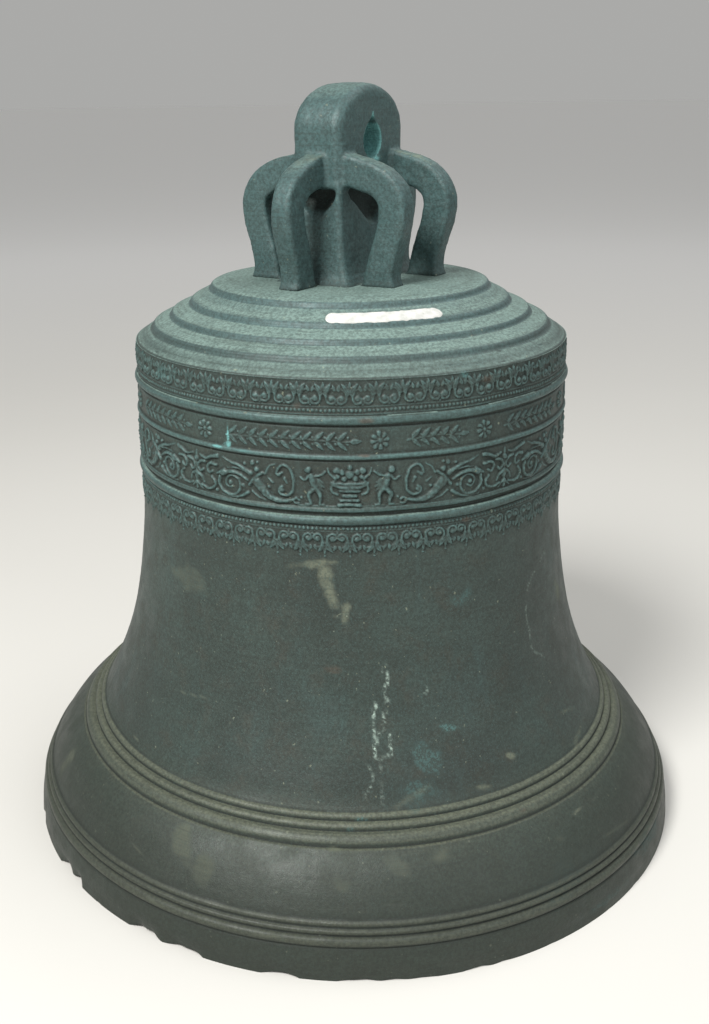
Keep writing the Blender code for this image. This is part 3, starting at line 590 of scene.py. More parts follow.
def skin(name, outer, inner, columns, strips, material, pattern=None, caps=(), side=True):
    """One ring of the casting, from its plain outer and inner outlines, with relief, flaws and marks."""
    outer = with_borders(outer)
    azimuth_row = -180.0 + 360.0 * np.arange(columns) / columns
    azimuth, z = np.meshgrid(azimuth_row, outer[:, 1])
    base = np.broadcast_to(outer[:, :1], z.shape)
    height = side_height(azimuth, z, pattern) if side else np.zeros_like(z)
    normal = outward(outer)
    flaws = casting_flaws(azimuth, z if side else HEAD_NOISE - base)
    swell = height + flaws * np.where(z > EVEN_BELOW, 1.0, EVEN_SHARE)
    radius = base + normal[:, :1] * swell
    level = z + normal[:, 1:] * swell
    bite, lift = lip_damage(azimuth, z)
    radius, level = np.minimum(radius - bite, LIP), np.maximum(level + lift, 0.0)
    inner_radius = np.broadcast_to(inner[:, :1], (len(inner), columns))
    inner_level = np.broadcast_to(inner[:, 1:], (len(inner), columns))
    if inner[0, 1] < 1.0:
        inner_level = np.maximum(inner_level, np.where(inner[:, :1] > LIP_INNER, lift[-1:], 0.0))
    all_radius = np.concatenate([radius, inner_radius])
    all_level = np.concatenate([level, inner_level])
    angle = np.radians(FRONT + azimuth_row)[None, :]
    points = np.stack([all_radius * np.cos(angle), all_radius * np.sin(angle), all_level], -1)
    lengths = np.linalg.norm(np.diff(outer, axis=0), axis=1)
    weights = np.concatenate([lengths / np.median(lengths), [0.6], np.full(len(inner) - 1, 0.6), [0.6]])
    if caps:
        weights = weights[:-1]
    flat_rows = [len(outer) - 1, len(outer) + len(inner) - 1]
    data = grid_mesh(name, points, weights, strips, flat_rows, caps)
    inside = np.zeros((len(inner), columns))
    fields = paint(azimuth, z, base, height)
    form, marks = ([np.concatenate([channel, inside]) for channel in group] for group in fields)
    form[3] = np.concatenate([np.zeros_like(z), inside + 1.0])
    set_field(data, "form", form)
    set_field(data, "marks", marks)
    replaced = ["bell_body"] if name == "bell_waist" else []
    show(name, data, "bell", material, "bronze_patina", *replaced)


def paint(azimuth, z, base, height):
    """Fields that the patina reads: (height, hollow, edge, inside) and (pale, green, rust, lime)."""
    # hollow: how far a place lies below its blurred surroundings, where the patina paints shade; edge: the
    # crests, where it paints a highlight
    hollow = blurred(height, 10) - height
    form = [np.clip(height / 2.0, 0.0, 1.0), np.clip(hollow * 1.8, 0.0, 1.0),
            np.clip(-hollow * 1.8, 0.0, 1.0), np.zeros_like(z)]
    radius = float(base.mean())
    marks = [mark_field(azimuth, z, radius, PALE_MARKS, 60), mark_field(azimuth, z, radius, GREEN_MARKS, 70),
             mark_field(azimuth, z, radius, RUST_MARKS, 80), lime_runs(azimuth, z, radius)]
    return form, marks


def casting(material):
    """The bell itself, as rings that meet edge to edge."""
    plate = smooth_line([(2, HEAD), STEPS[0]], 4.0)
    head = np.concatenate([plate[:-1], smooth_line(STEPS, 0.65)])
    skin("bell_head", head, smooth_line(DOME, 8.0), 512, 8, material, caps=(0, -1), side=False)
    rings = [("bell_frieze_upper", UPPER_FRIEZE, INSCRIPTION, 0.58, 1800, 10, upper_frieze),
             ("bell_inscription_band", INSCRIPTION, MAIN_FRIEZE, 0.62, 1500, 8, inscription_band),
             ("bell_frieze_main", MAIN_FRIEZE, ROLLS, 0.6, 1600, 8, main_frieze),
             ("bell_rolls", ROLLS, LOWER_FRIEZE, 0.45, 900, 10, None),
             ("bell_frieze_lower", LOWER_FRIEZE, WAIST, 0.6, 1800, 10, lower_frieze),
             ("bell_waist", WAIST, SOUND_BOW, 1.6, 640, 4, None),
             ("bell_sound_bow", SOUND_BOW, LIP_BAND, 1.05, 720, 6, None)]
    for name, top, bottom, step, columns, strips, pattern in rings:
        inner = inner_rows(bottom, top, 8.0)
        skin(name, side_rows(top, bottom, step), inner, columns, strips, material, pattern)
    rim = np.array([[LIP - RIM_WIDTH, 0.0], [LIP - RIM_EASE[0], RIM_EASE[1]]])
    inner = np.concatenate([rim, inner_rows(INSIDE[0][0], LIP_BAND, 4.0)])
    skin("bell_lip", side_rows(LIP_BAND, 0.0, 1.0), inner, 1500, 10, material)


# ---- fused castings and forgings -----------------------------------------------------------------
def extruded(outline, width):
    """Closed slab from an outline in its own (x, z) plane, centred on y = 0."""
    bm = bmesh.new()
    front = [bm.verts.new((x, -width / 2, z)) for x, z in outline]
    face = bm.faces.new(front)
    made = bmesh.ops.extrude_face_region(bm, geom=[face])
    moved = [item for item in made["geom"] if isinstance(item, bmesh.types.BMVert)]
    bmesh.ops.translate(bm, verts=moved, vec=(0.0, width, 0.0))
    bmesh.ops.recalc_face_normals(bm, faces=bm.faces[:])
    return bm


def eased(bm, width, segments, degrees):
    """Rounds the sharp edges of a closed slab."""
    sharp = [edge for edge in bm.edges if edge.calc_face_angle(0.0) > math.radians(degrees)]
    bmesh.ops.bevel(bm, geom=sharp, offset=width, segments=segments, affect="EDGES", clamp_overlap=True)
    return bm


def lofted(outlines, closed=False):
    """Body through outlines with the same number of points; closed joins the last to the first."""
    bm = bmesh.new()
    rings = [[bm.verts.new(point) for point in outline] for outline in outlines]
    for first, second in zip(rings, rings[1:] + rings[:1] if closed else rings[1:]):
        for k in range(len(first)):
            bm.faces.new((first[k], first[k - 1], second[k - 1], second[k]))
    if not closed:
        bm.faces.new(rings[0])
        bm.faces.new(list(reversed(rings[-1])))
    bmesh.ops.recalc_face_normals(bm, faces=bm.faces[:])
    return bm


def swept(points, section, closed=False):
    """Closed bar from a section carried along a chain of points that stays in one upright plane."""
    points = [Vector(p) for p in points]
    outlines = []
    for i, point in enumerate(points):
        last = points[i - 1] if i or closed else point
        following = points[(i + 1) % len(points)] if i + 1 < len(points) or closed else point
        along = (following - last).normalized()
        across = section.plane.cross(along).normalized()
        outlines.append([point + across * a + section.plane * b for a, b in section.at(i / len(points))])
    return lofted(outlines, closed)


class Section:
    """Cross section of a swept bar; plane is the normal of the plane that the bar bends in."""

    def __init__(self, plane, half_across, half_along, power, count, swell=(1.0, 1.0)):
        self.plane = Vector(plane)
        self.size = (half_across, half_along)
        self.power = power
        self.count = count
        self.swell = swell

    def at(self, share):
        """Points of the section at a share of the bar's length; swell holds its size at even steps."""
        size = float(np.interp(share * (len(self.swell) - 1), range(len(self.swell)), self.swell))
        made = []
        for k in range(self.count):
            angle = 2 * math.pi * k / self.count
            c, s = math.cos(angle), math.sin(angle)
            made.append((self.size[0] * size * math.copysign(abs(c) ** (2 / self.power), c),
                         self.size[1] * size * math.copysign(abs(s) ** (2 / self.power), s)))
        return made


def spun(outline, steps):
    """Closed body of revolution from (radius, height) points that start and end on the axis."""
    bm = bmesh.new()
    rings = []
    for radius, height in outline:
        if radius < 0.01:
            rings.append([bm.verts.new((0.0, 0.0, height))])
        else:
            rings.append([bm.verts.new((radius * math.cos(2 * math.pi * k / steps),
                                        radius * math.sin(2 * math.pi * k / steps), height))
                          for k in range(steps)])
    for first, second in zip(rings, rings[1:]):
        for k in range(steps):
            corners = [first[k % len(first)], second[k % len(second)],
                       second[(k + 1) % len(second)], first[(k + 1) % len(first)]]
            bm.faces.new([v for n, v in enumerate(corners) if v not in corners[:n]])
    bmesh.ops.recalc_face_normals(bm, faces=bm.faces[:])
    return bm


def rough_object(name, bodies, scale, voxel=None):
    """The bodies as one passing object, with a voxel skin over them if a size is given."""
    whole = bmesh.new()
    for body in bodies:
        part = as_mesh("part", body)
        whole.from_mesh(part)
        bpy.data.meshes.remove(part)
    bmesh.ops.scale(whole, verts=whole.verts[:], vec=(scale, scale, scale))
    obj = set_in_scene(name + "_rough", as_mesh(name, whole))
    if voxel:
        remesh = obj.modifiers.new("fuse", "REMESH")
        remesh.mode = "VOXEL"
        remesh.voxel_size = voxel * scale
        remesh.use_smooth_shade = True
    return obj


def evaluated(obj):
    bpy.context.view_layer.update()
    return obj.evaluated_get(bpy.context.evaluated_depsgraph_get())


def discard(obj):
    data = obj.data
    bpy.data.objects.remove(obj, do_unlink=True)
    bpy.data.meshes.remove(data)


def fused(name, bodies, voxel, rounds, roughness):
    """One skin round overlapping bodies, softened, with an uneven surface (size, depth) in millimetres."""
    obj = rough_object(name, bodies, MM, voxel)
    soften = obj.modifiers.new("soften", "SMOOTH")
    soften.factor = 0.5
    soften.iterations = rounds
    for k, (size, depth) in enumerate(roughness):
        cloud = bpy.data.textures.new(f"{name}_{k}", "CLOUDS")
        cloud.noise_scale = size * MM
        uneven = obj.modifiers.new("uneven", "DISPLACE")
        uneven.texture = cloud
        uneven.texture_coords = "LOCAL"
        uneven.strength = depth * MM
        uneven.mid_level = 0.5
    made = bpy.data.meshes.new_from_object(evaluated(obj))
    discard(obj)
    made.name = name
    made.materials.clear()
    made.shade_smooth()
    return made


def pierced(bodies, cutter, voxel):
    """The bodies as one skin, in millimetres, with the cutter taken out of it."""
    solid, hole = rough_object("crown_solid", bodies, 1.0, voxel), rough_object("crown_hole", [cutter], 1.0)
    boolean = solid.modifiers.new("hole", "BOOLEAN")
    boolean.operation = "DIFFERENCE"
    boolean.object = hole
    bm = bmesh.new()
    bm.from_mesh(evaluated(solid).to_mesh())
    discard(solid)
    discard(hole)
    return bm


def coordinates(data):
    """Vertex places in millimetres and vertex normals of a mesh."""
    places = np.zeros(len(data.vertices) * 3)
    data.vertices.foreach_get("co", places)
    normals = np.zeros(len(data.vertices) * 3)
    data.vertices.foreach_get("normal", normals)
    return places.reshape(-1, 3) / MM, normals.reshape(-1, 3)


# ---- crown ---------------------------------------------------------------------------------------
# Side view of a canon, x outwards from the argent's face: its back from the argent to the foot, then its
# underside from the foot back to the argent.
CANON_BACK = [(-9, 542), (0, 541.4), (12, 539.4), (25, 535.8), (36.4, 530), (45.2, 521.6), (50.2, 511.6),
              (51.6, 501), (50.2, 490), (46.8, 479), (43.4, 468), (41.6, 458), (42.0, 450.6), (43.2, 446)]
CANON_UNDER = [(15.4, 446), (16.6, 450.6), (17.6, 458), (20.2, 469), (24.0, 481), (27.4, 492.6), (28.8, 501),
               (27.8, 507.6), (23.6, 512), (14, 515.6), (0, 519), (-9, 520.4)]
CANON_WIDTH = 17.0
PAIR_REACH, SINGLE_REACH = 29.0, 25.0
ARGENT_SPRING, ARGENT_EDGE = 558.0, 7.0
HOLE_RADIUS, HOLE_CENTRE, HOLE_TIP = 12.5, 549.5, 567.5
# Sections of the post: height, half width along X and Y, then the width of its ribs and the depth of
# the hollow between them on its wide faces, and the same on its narrow faces.
POST = [(444, 59, 37.5, 43, 0, 19, 0), (448.4, 54.5, 33, 43, 0, 19, 0), (452, 51.4, 29.8, 43, 0, 19, 0),
        (458, 49.6, 27, 43, 0, 19, 0), (468, 48.4, 25, 43, 0, 19, 0), (487, 47.4, 22.8, 42, 0, 18.4, 0),
        (492, 47.2, 22.4, 39, 8, 17.6, 0), (499, 47.1, 22, 31, 13, 15, 3), (506, 47, 21.7, 22, 15, 8, 10),
        (513, 47, 21.5, 13, 15, 4, 12), (521, 47, 21.5, 11, 15, 3.6, 12)]


def canon(reach, heading, start):
    """One canon, from the argent's face at start out along a heading to its foot on the crown plate."""
    outline = []
    for side in (CANON_BACK, CANON_UNDER):
        seated = [(x + (reach - PAIR_REACH) * min(max(x / 20.0, 0.0), 1.0), z) for x, z in side]
        outline += [tuple(p) for p in smooth_line(seated, 2.0)]
    bm = eased(extruded(outline, CANON_WIDTH), 2.6, 3, 50.0)
    for vert in bm.verts:                                   # a little wider at the root and the foot
        flare = 0.13 * math.exp(-((vert.co.z - 446) / 5.0) ** 2) + 0.08 * math.exp(-(vert.co.x / 9.0) ** 2)
        vert.co.y *= 1.0 + flare
        vert.co.x += (vert.co.x - 29.0) * 0.12 * math.exp(-((vert.co.z - 446) / 4.0) ** 2)
    matrix = Matrix.Translation(start) @ Matrix.Rotation(math.radians(heading), 4, "Z")
    bmesh.ops.transform(bm, matrix=matrix, verts=bm.verts[:])
    return bm


def argent_slab(low, high):
    """Arched slab with rounded edges and a crowned back, as outlines set one behind the other."""
    half, thick, top, foot = high.x / MM, high.y / MM, high.z / MM, low.z / MM + 3.5
    layers = []
    for a in range(0, 91, 15):
        c, s = math.cos(math.radians(a)), math.sin(math.radians(a))
        layers.append((-thick + ARGENT_EDGE * (1 - c), ARGENT_EDGE * (1 - s)))
    layers += [(0.0, 0.0)] + [(-y, inset) for y, inset in reversed(layers)]
    outlines = []
    for y, inset in layers:
        rise = top - ARGENT_SPRING - inset - 1.4 * (y / thick) ** 2
        outline = [(-half + inset, foot), (half - inset, foot)]
        outline += on_arc(ARGENT_SPRING, half - inset, rise, range(0, 181, 5))
        outlines.append([(x, y, z) for x, z in outline])
    return lofted(outlines)


def hole_cutter():
    """Round hole whose top is drawn up to a point."""
    outline = on_arc(HOLE_CENTRE, HOLE_RADIUS, HOLE_RADIUS, range(136, 405, 12)) + [(0.0, HOLE_TIP)]
    return extruded(outline, 90.0)


def crown(material):
    """Argent, post and six canons as the one casting that they are."""
    low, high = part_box("argent")
    half_x, half_y, pair = high.x / MM, high.y / MM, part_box("canon_front_right")
    offset = (pair[0].x + pair[1].x) / 2 / MM
    bodies = [argent_slab(low, high), post()]
    layout = [(-90, (-offset, -half_y), PAIR_REACH), (-90, (offset, -half_y), PAIR_REACH),
              (90, (offset, half_y), PAIR_REACH), (90, (-offset, half_y), PAIR_REACH),
              (180, (-half_x, 0.0), SINGLE_REACH), (0, (half_x, 0.0), SINGLE_REACH)]
    for heading, (x, y), reach in layout:
        bodies.append(canon(reach, heading, (x, y, 0.0)))
    drilled = pierced(bodies, hole_cutter(), 1.6)
    data = fused("bell_crown", [drilled], 1.15, 4, [(22.0, 1.5), (5.0, 0.5)])
    crown_fields(data)
    nodes = ["argent", "crown_post"] + [n for n in frame["nodes"] if n.startswith("canon_")]
    show("bell_crown", data, "bell", material, "bronze_patina_crown", *nodes)


def post_section(half_x, half_y, rib_x, depth_y, rib_y, depth_x):
    """Outline of the post: two of its faces, then the same two turned half round."""
    cut, slope = 2.4, 2.0
    floor_x, floor_y = half_x - rib_x - slope, half_y - rib_y - slope
    half = [(-half_x + cut, -half_y), (-half_x + rib_x, -half_y), (-floor_x, -half_y + depth_y),
            (floor_x, -half_y + depth_y), (half_x - rib_x, -half_y), (half_x - cut, -half_y),
            (half_x, -half_y + cut), (half_x, -half_y + rib_y), (half_x - depth_x, -floor_y),
            (half_x - depth_x, floor_y), (half_x, half_y - rib_y), (half_x, half_y - cut)]
    return half + [(-x, -y) for x, y in half]


def post():
    """Post whose corners rise to the argent as ribs and whose foot flares to the crown plate."""
    return lofted([[(x, y, z) for x, y in post_section(*sizes)] for z, *sizes in smooth_line(POST, 3.0)])


def crown_fields(data):
    """Verdigris in and over the hole, painted extra bright inside it to stand in for the light there, pale
    dust on the shoulders of the canons, and painted shade in the recesses, deep in the hole, along the foot
    and where the crown meets the plate.
    """
    places, normals = coordinates(data)
    x, y, z = places.T
    noise = np.array([value_wave(places, k) for k in range(3)])
    # verdigris lining the hole and its pointed top, at full strength: a real green, painted brighter to stand
    # in for light falling into the hole
    lined = np.clip((HOLE_RADIUS + 2.0 - np.hypot(x, z - HOLE_CENTRE - 0.5)) / 1.5, 0.0, 1.0)
    half = np.clip((HOLE_TIP + 4.0 - z) * 0.55, 0.4, 11.0)
    pointed = np.clip(1.5 - np.abs(x) / half, 0.0, 1.0) * (z > HOLE_CENTRE - 0.5)
    below = np.exp(-((x - 6.0) / 6.0) ** 2 - ((z - 536.5) / 3.0) ** 2)
    # dark spot low in the hole, painted shade where one looks deep into it
    pocket = np.exp(-((x + 9.0) / 5.0) ** 2 - ((z - 544.0) / 5.0) ** 2)
    green = np.maximum(np.maximum(lined, pointed * (z < 572.0)), below)
    green *= np.clip(1.1 + 0.5 * noise[0], 0.0, 1.0) * (1.0 - pocket)
    top = np.clip(normals[:, 2] - 0.55, 0.0, 1.0) / 0.45
    pale = top * np.clip(noise[1] * 2.0, 0.0, 1.0) * np.clip(1.0 - np.abs(z - 538.0) / 7.0, 0.0, 1.0)
    # painted shade close to the crown plate
    foot = np.exp(-np.clip(z - 448.0, 0.0, 99.0) / 12.0)
    zero = np.zeros_like(z)
    # painted shade in the hollows between the post's ribs, under the argent
    recess = np.clip((20.0 - np.abs(y)) / 4.0, 0, 1) * np.clip((45.0 - np.abs(x)) / 4.0, 0, 1)
    recess *= np.clip((z - 486.0) / 8.0, 0, 1) * (z < 519.0)
    # painted shade along the line where the crown meets the plate
    seam = np.exp(-np.abs(z - 448.0) / 1.6) * (np.hypot(x, y) < 90.0)
    # all of this is painted shade, drawn dark by the patina
    hollow = np.clip(0.22 * foot + 0.6 * seam + recess + pocket * lined, 0, 1)
    set_field(data, "form", [zero + 0.5, hollow, zero, zero])
    set_field(data, "marks", [np.clip(pale, 0, 0.8), np.clip(green, 0, 1), zero,
                              np.clip(top * (noise[2] - 0.72) * 3.0, 0, 0.6)])


def value_wave(places, seed):
    """Slow noise from a few crossing waves, about -1 to 1, at places in millimetres."""
    rng = np.random.default_rng(SEED + 300 + seed)
    total = np.zeros(len(places))
    for size in (40.0, 21.0, 11.0, 6.0):
        for _ in range(3):
            direction = rng.normal(size=3)
            direction /= np.linalg.norm(direction)
            total += np.sin(places @ direction * 2 * math.pi / size + rng.uniform(0, 6.28)) * size ** 0.4
    return total / np.abs(total).max()


# ---- inventory label -----------------------------------------------------------------------------
LABEL_START, LABEL_SWEEP = -8.0, 41.0
LABEL_RADII = (115.2, 124.9)
LABEL_THICK, LABEL_LIFT, LABEL_SINK, LABEL_RAGGED = 0.55, 0.12, 0.6, 0.35


def label(material):
    """Blank painted strip on the first step of the head, with rounded ends and a brushed edge."""
    lengthwise, across = 220, 16
    share = np.linspace(-1.0, 1.0, lengthwise)[:, None]
    azimuth = LABEL_START + LABEL_SWEEP * (share + 1.0) / 2
    half = (LABEL_RADII[1] - LABEL_RADII[0]) / 2
    length = math.radians(LABEL_SWEEP) * LABEL_RADII[1] / 2
    end = np.clip((1.0 - np.abs(share)) * length / half, 0.0, 1.0)
    width = half * np.sqrt(np.clip(1.0 - (1.0 - end) ** 2, 0.02, 1.0))
    ragged = LABEL_RAGGED * value_noise(azimuth * 6, share * 0.0, 8.0, 10.0, 51)
    t = np.linspace(-1.0, 1.0, across)[None, :]
    middle = (LABEL_RADII[0] + LABEL_RADII[1]) / 2
    radius = middle + t * (width + ragged * np.abs(t))
    line = smooth_line(STEPS, 0.5)
    ground = np.interp(radius, line[:, 0], line[:, 1])
    flaws = casting_flaws(np.broadcast_to(azimuth, radius.shape), HEAD_NOISE - radius)
    edge = np.clip(1.0 - np.abs(t) ** 6, 0.0, 1.0) * np.clip(end * 1.5, 0.0, 1.0)
    angle = np.radians(FRONT + azimuth)
    sheets = []
    for lift in (LABEL_THICK * edge + LABEL_LIFT, -LABEL_SINK):
        level = ground + flaws + lift
        sheets.append(np.stack([radius * np.cos(angle), radius * np.sin(angle), level], -1))
    bm = bmesh.new()
    upper, lower = [[[bm.verts.new(p * MM) for p in row] for row in sheet] for sheet in sheets]
    for grid in (upper, lower):
        for i in range(lengthwise - 1):
            for j in range(across - 1):
                bm.faces.new((grid[i][j], grid[i + 1][j], grid[i + 1][j + 1], grid[i][j + 1]))
    last, side = lengthwise - 1, across - 1
    border = [(i, 0) for i in range(lengthwise)] + [(last, j) for j in range(1, across)]
    border += [(i, side) for i in range(last - 1, -1, -1)] + [(0, j) for j in range(side - 1, 0, -1)]
    for (a, b), (c, d) in zip(border, border[1:] + border[:1]):
        bm.faces.new((upper[a][b], upper[c][d], lower[c][d], lower[a][b]))
    bmesh.ops.recalc_face_normals(bm, faces=bm.faces[:])
    show_body(bm, "inventory_label_paint", "bell", material, "label_white", "inventory_label")


# ---- clapper and what it hangs on ----------------------------------------------------------------
STAPLE_ROD, EYE_ROD, STRAP_THICKNESS, STRAP_WIDTH = 9.0, 8.0, 7.0, 44.0
EYE_HALF_SPAN = 35.0
DENTS = 0.03                # share by which a forged bar's radius varies
CLAPPER = [(0, 238), (8, 237), (9.2, 232), (10, 215), (11.5, 170), (13.5, 125), (16.4, 100), (23, 86),
           (31, 72), (36.4, 58), (38, 46), (36.6, 34), (31, 25), (21, 18.6), (15, 15.4), (13, 12.4),
           (11, 10), (0, 9.7)]
STRIKE_HEIGHT, STRIKE_DEPTH = 46.0, 35.4        # middle of the struck faces and how far out they lie


def joint_height(name):
    return next(joint["pos_m"][2] for joint in frame["joints"] if joint["name"] == name) / MM


def bent_bar(points, radius):
    """Hammered round bar along (x, z) points."""
    uneven = np.random.default_rng(SEED + 500).uniform(1.0 - DENTS, 1.0 + DENTS, 64)
    section = Section((0.0, 1.0, 0.0), radius, radius, 2.0, 20, uneven)
    return swept([(x, 0.0, z) for x, z in smooth_line(points, 2.0)], section)


def staple(material):
    """Iron loop cast into the head, forged from round bar that the leather turns freely on."""
    axis, half = joint_height("strap_swing"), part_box("crown_staple")[1].x / MM - STAPLE_ROD
    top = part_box("crown_staple")[1].z / MM - 0.5
    leg = [(half, top), (half, 410), (half, axis + 20), (half - 4, axis + 6), (half - 13, axis)]
    points = leg + [(0, axis)] + [(-x, z) for x, z in reversed(leg)]
    data = fused("staple_forging", [bent_bar(points, STAPLE_ROD - 0.8)], 1.3, 3, [(14.0, 0.8)])
    show("staple_forging", data, "bell", material, "forged_iron", "crown_staple")


def clapper(material):
    """Clapper with its stirrup, welded and hammered into one piece."""
    axis, half = joint_height("clapper_swing"), EYE_HALF_SPAN
    arm = [(16, 238), (half - 2, 248), (half, 256), (half - 3, axis - 3), (half - 10, axis)]
    loop = [(0, 229)] + arm + [(0, axis)] + [(-x, z) for x, z in reversed(arm)] + [(-0.5, 229)]
    body = spun([tuple(p) for p in smooth_line(CLAPPER, 3.0)], 48)
    for vert in body.verts:                                 # faces towards +Y and -Y are beaten flat
        if abs(vert.co.z - STRIKE_HEIGHT) < 24 and abs(vert.co.y) > STRIKE_DEPTH:
            vert.co.y = math.copysign(STRIKE_DEPTH + (abs(vert.co.y) - STRIKE_DEPTH) * 0.25, vert.co.y)
    bodies = [body, bent_bar(loop, EYE_ROD - 0.7)]
    data = fused("clapper_forging", bodies, 1.3, 3, [(16.0, 0.9), (5.0, 0.3)])
    _, y, z = coordinates(data)[0].T
    worn = np.clip((np.abs(y) - 31.0) / 4.0, 0.0, 1.0) * (np.abs(z - STRIKE_HEIGHT) < 22)
    zero = np.zeros(len(y))
    set_field(data, "form", [worn, zero, zero, zero])
    show("clapper_forging", data, "clapper", material, "forged_iron", "clapper")


def strap_path(offset=0.0):
    """Closed chain of (y, z) round both bars at the middle of the leather, moved outwards by an offset."""
    top, bottom = joint_height("strap_swing"), joint_height("clapper_swing")
    reach_top = STAPLE_ROD + 0.4 + STRAP_THICKNESS / 2 + offset
    reach_bottom = EYE_ROD + 0.4 + STRAP_THICKNESS / 2 + offset
    neck = STRAP_THICKNESS / 2 + 0.05 + offset
    right = on_arc(top, reach_top, reach_top, range(90, -36, -9))
    right += [(neck + 1.6, top - 19.0), (neck, top - 27.0), (neck, (top + bottom) / 2), (neck, bottom + 27.0),
              (neck + 1.6, bottom + 19.0)]
    right += on_arc(bottom, reach_bottom, reach_bottom, range(36, -91, -9))
    line = smooth_line(right, 1.2)
    return [tuple(p) for p in line] + [(-y, z) for y, z in line[-2:0:-1]]


def strap(material, thread):
    """Leather strap in a closed loop, with a row of stitches along each edge."""
    section = Section((1.0, 0.0, 0.0), STRAP_THICKNESS / 2 - 0.1, STRAP_WIDTH / 2 - 0.2, 7.0, 36)
    body = swept([(0.0, y, z) for y, z in strap_path()], section, True)
    bmesh.ops.scale(body, verts=body.verts[:], vec=(MM, MM, MM))
    show_body(body, "strap_leather_loop", "strap", material, "strap_leather", "clapper_strap")
    stitches = bmesh.new()
    chain = strap_path(STRAP_THICKNESS / 2 - 0.1)
    for k in range(0, len(chain) - 4, 5):
        (y0, z0), (y1, z1) = chain[k], chain[k + 3]
        for x in (-STRAP_WIDTH / 2 + 4.5, STRAP_WIDTH / 2 - 4.5):
            matrix = (Matrix.Translation(Vector((x, (y0 + y1) / 2, (z0 + z1) / 2)) * MM)
                      @ Matrix.Rotation(math.atan2(z1 - z0, y1 - y0), 4, "X")
                      @ Matrix.Diagonal((0.55 * MM, 1.9 * MM, 0.45 * MM, 1.0)))
            bmesh.ops.create_uvsphere(stitches, u_segments=10, v_segments=6, radius=1.0, matrix=matrix)
    show_body(stitches, "strap_stitching", "strap", thread, "strap_leather")


# ---- materials -----------------------------------------------------------------------------------
class Finish:
    """A material and short ways to add nodes to it; values may be numbers or the sockets that give them."""

    def __init__(self, name):
        self.material = bpy.data.materials.new(name)
        self.material.use_nodes = True
        self.tree = self.material.node_tree

    def feed(self, made, inputs):
        for key, value in inputs.items():
            if isinstance(value, bpy.types.NodeSocket):
                self.tree.links.new(value, made.inputs[key])
            else:
                made.inputs[key].default_value = value

    def done(self, colour, rough, surface=None, **others):
        """Feeds the shader and returns the material."""
        inputs = {"Base Color": colour, "Roughness": rough, **others}
        if surface:
            inputs["Normal"] = surface
        self.feed(self.tree.nodes["Principled BSDF"], inputs)
        return self.material

    def node(self, kind, inputs, **settings):
        made = self.tree.nodes.new("ShaderNode" + kind)
        for key, value in settings.items():
            setattr(made, key, value)
        self.feed(made, inputs)
        return made

    def mix(self, share, first, second):
        """Colour between two colours or sockets."""
        inputs = {0: share}
        for index, value in ((6, first), (7, second)):
            inputs[index] = value if isinstance(value, bpy.types.NodeSocket) else (*value, 1.0)
        return self.node("Mix", inputs, data_type="RGBA").outputs[2]

    def maths(self, operation, first, second, clamp=False):
        return self.node("Math", {0: first, 1: second}, operation=operation, use_clamp=clamp).outputs[0]

    def times(self, first, second):
        return self.maths("MULTIPLY", first, second)

    def plus(self, first, second, clamp=False):
        return self.maths("ADD", first, second, clamp)

    def span(self, value, low, high, start=0.0, end=1.0):
        """A value spread from low-high to start-end, with soft ends."""
        return self.node("MapRange", {"Value": value, "From Min": low, "From Max": high, "To Min": start,
                                      "To Max": end}, interpolation_type="SMOOTHSTEP").outputs[0]

    def place(self):
        """Place in the object's own space, in metres."""
        return self.node("TexCoord", {}).outputs["Object"]

    def upright(self, vector):
        return self.node("SeparateXYZ", {0: vector}).outputs[2]

    def noise(self, scale, detail, roughness, stretch=(1.0, 1.0, 1.0), shift=0.0):
        """Noise over the object's own space; scale is per metre, stretch squeezes it along an axis."""
        location = (shift, shift * 0.7, shift)
        mapped = self.node("Mapping", {"Vector": self.place(), "Scale": stretch, "Location": location})
        return self.node("TexNoise", {"Vector": mapped.outputs[0], "Scale": scale, "Detail": detail,
                                      "Roughness": roughness}).outputs["Fac"]

    def bump(self, height, distance, strength, normal=None):
        inputs = {"Height": height, "Distance": distance, "Strength": strength}
        if normal:
            inputs["Normal"] = normal
        return self.node("Bump", inputs).outputs[0]

    def fields(self, name):
        """The four channels of a vertex field."""
        read = self.node("Attribute", {}, attribute_name=name)
        split = self.node("SeparateColor", {"Color": read.outputs["Color"]})
        return [split.outputs[0], split.outputs[1], split.outputs[2], read.outputs["Alpha"]]


PATINA_DARK = (0.025, 0.035, 0.029)
PATINA_GREEN = (0.040, 0.062, 0.053)
PATINA_BROWN = (0.047, 0.044, 0.032)
PATINA_BLUE = (0.046, 0.098, 0.098)
PATINA_OLIVE = (0.066, 0.086, 0.060)
# painted highlight colour for crests, also used for pale blue-green flecks
HIGHLIGHT = (0.085, 0.168, 0.162)
HEAD_BLUE = (0.105, 0.205, 0.215)
# olive for the painted highlight on crests and for dust with painted top light, low on the bell
OLIVE_DUST_AND_PAINTED_LIGHT = (0.150, 0.165, 0.115)
# pale colour of settled dust together with painted light from above, on up-facing surfaces
DUST_AND_TOP_LIGHT = (0.185, 0.270, 0.242)
VERDIGRIS = (0.280, 0.700, 0.690)
CHALK = (0.300, 0.330, 0.235)
LIME = (0.480, 0.620, 0.540)
RUST = (0.095, 0.062, 0.042)
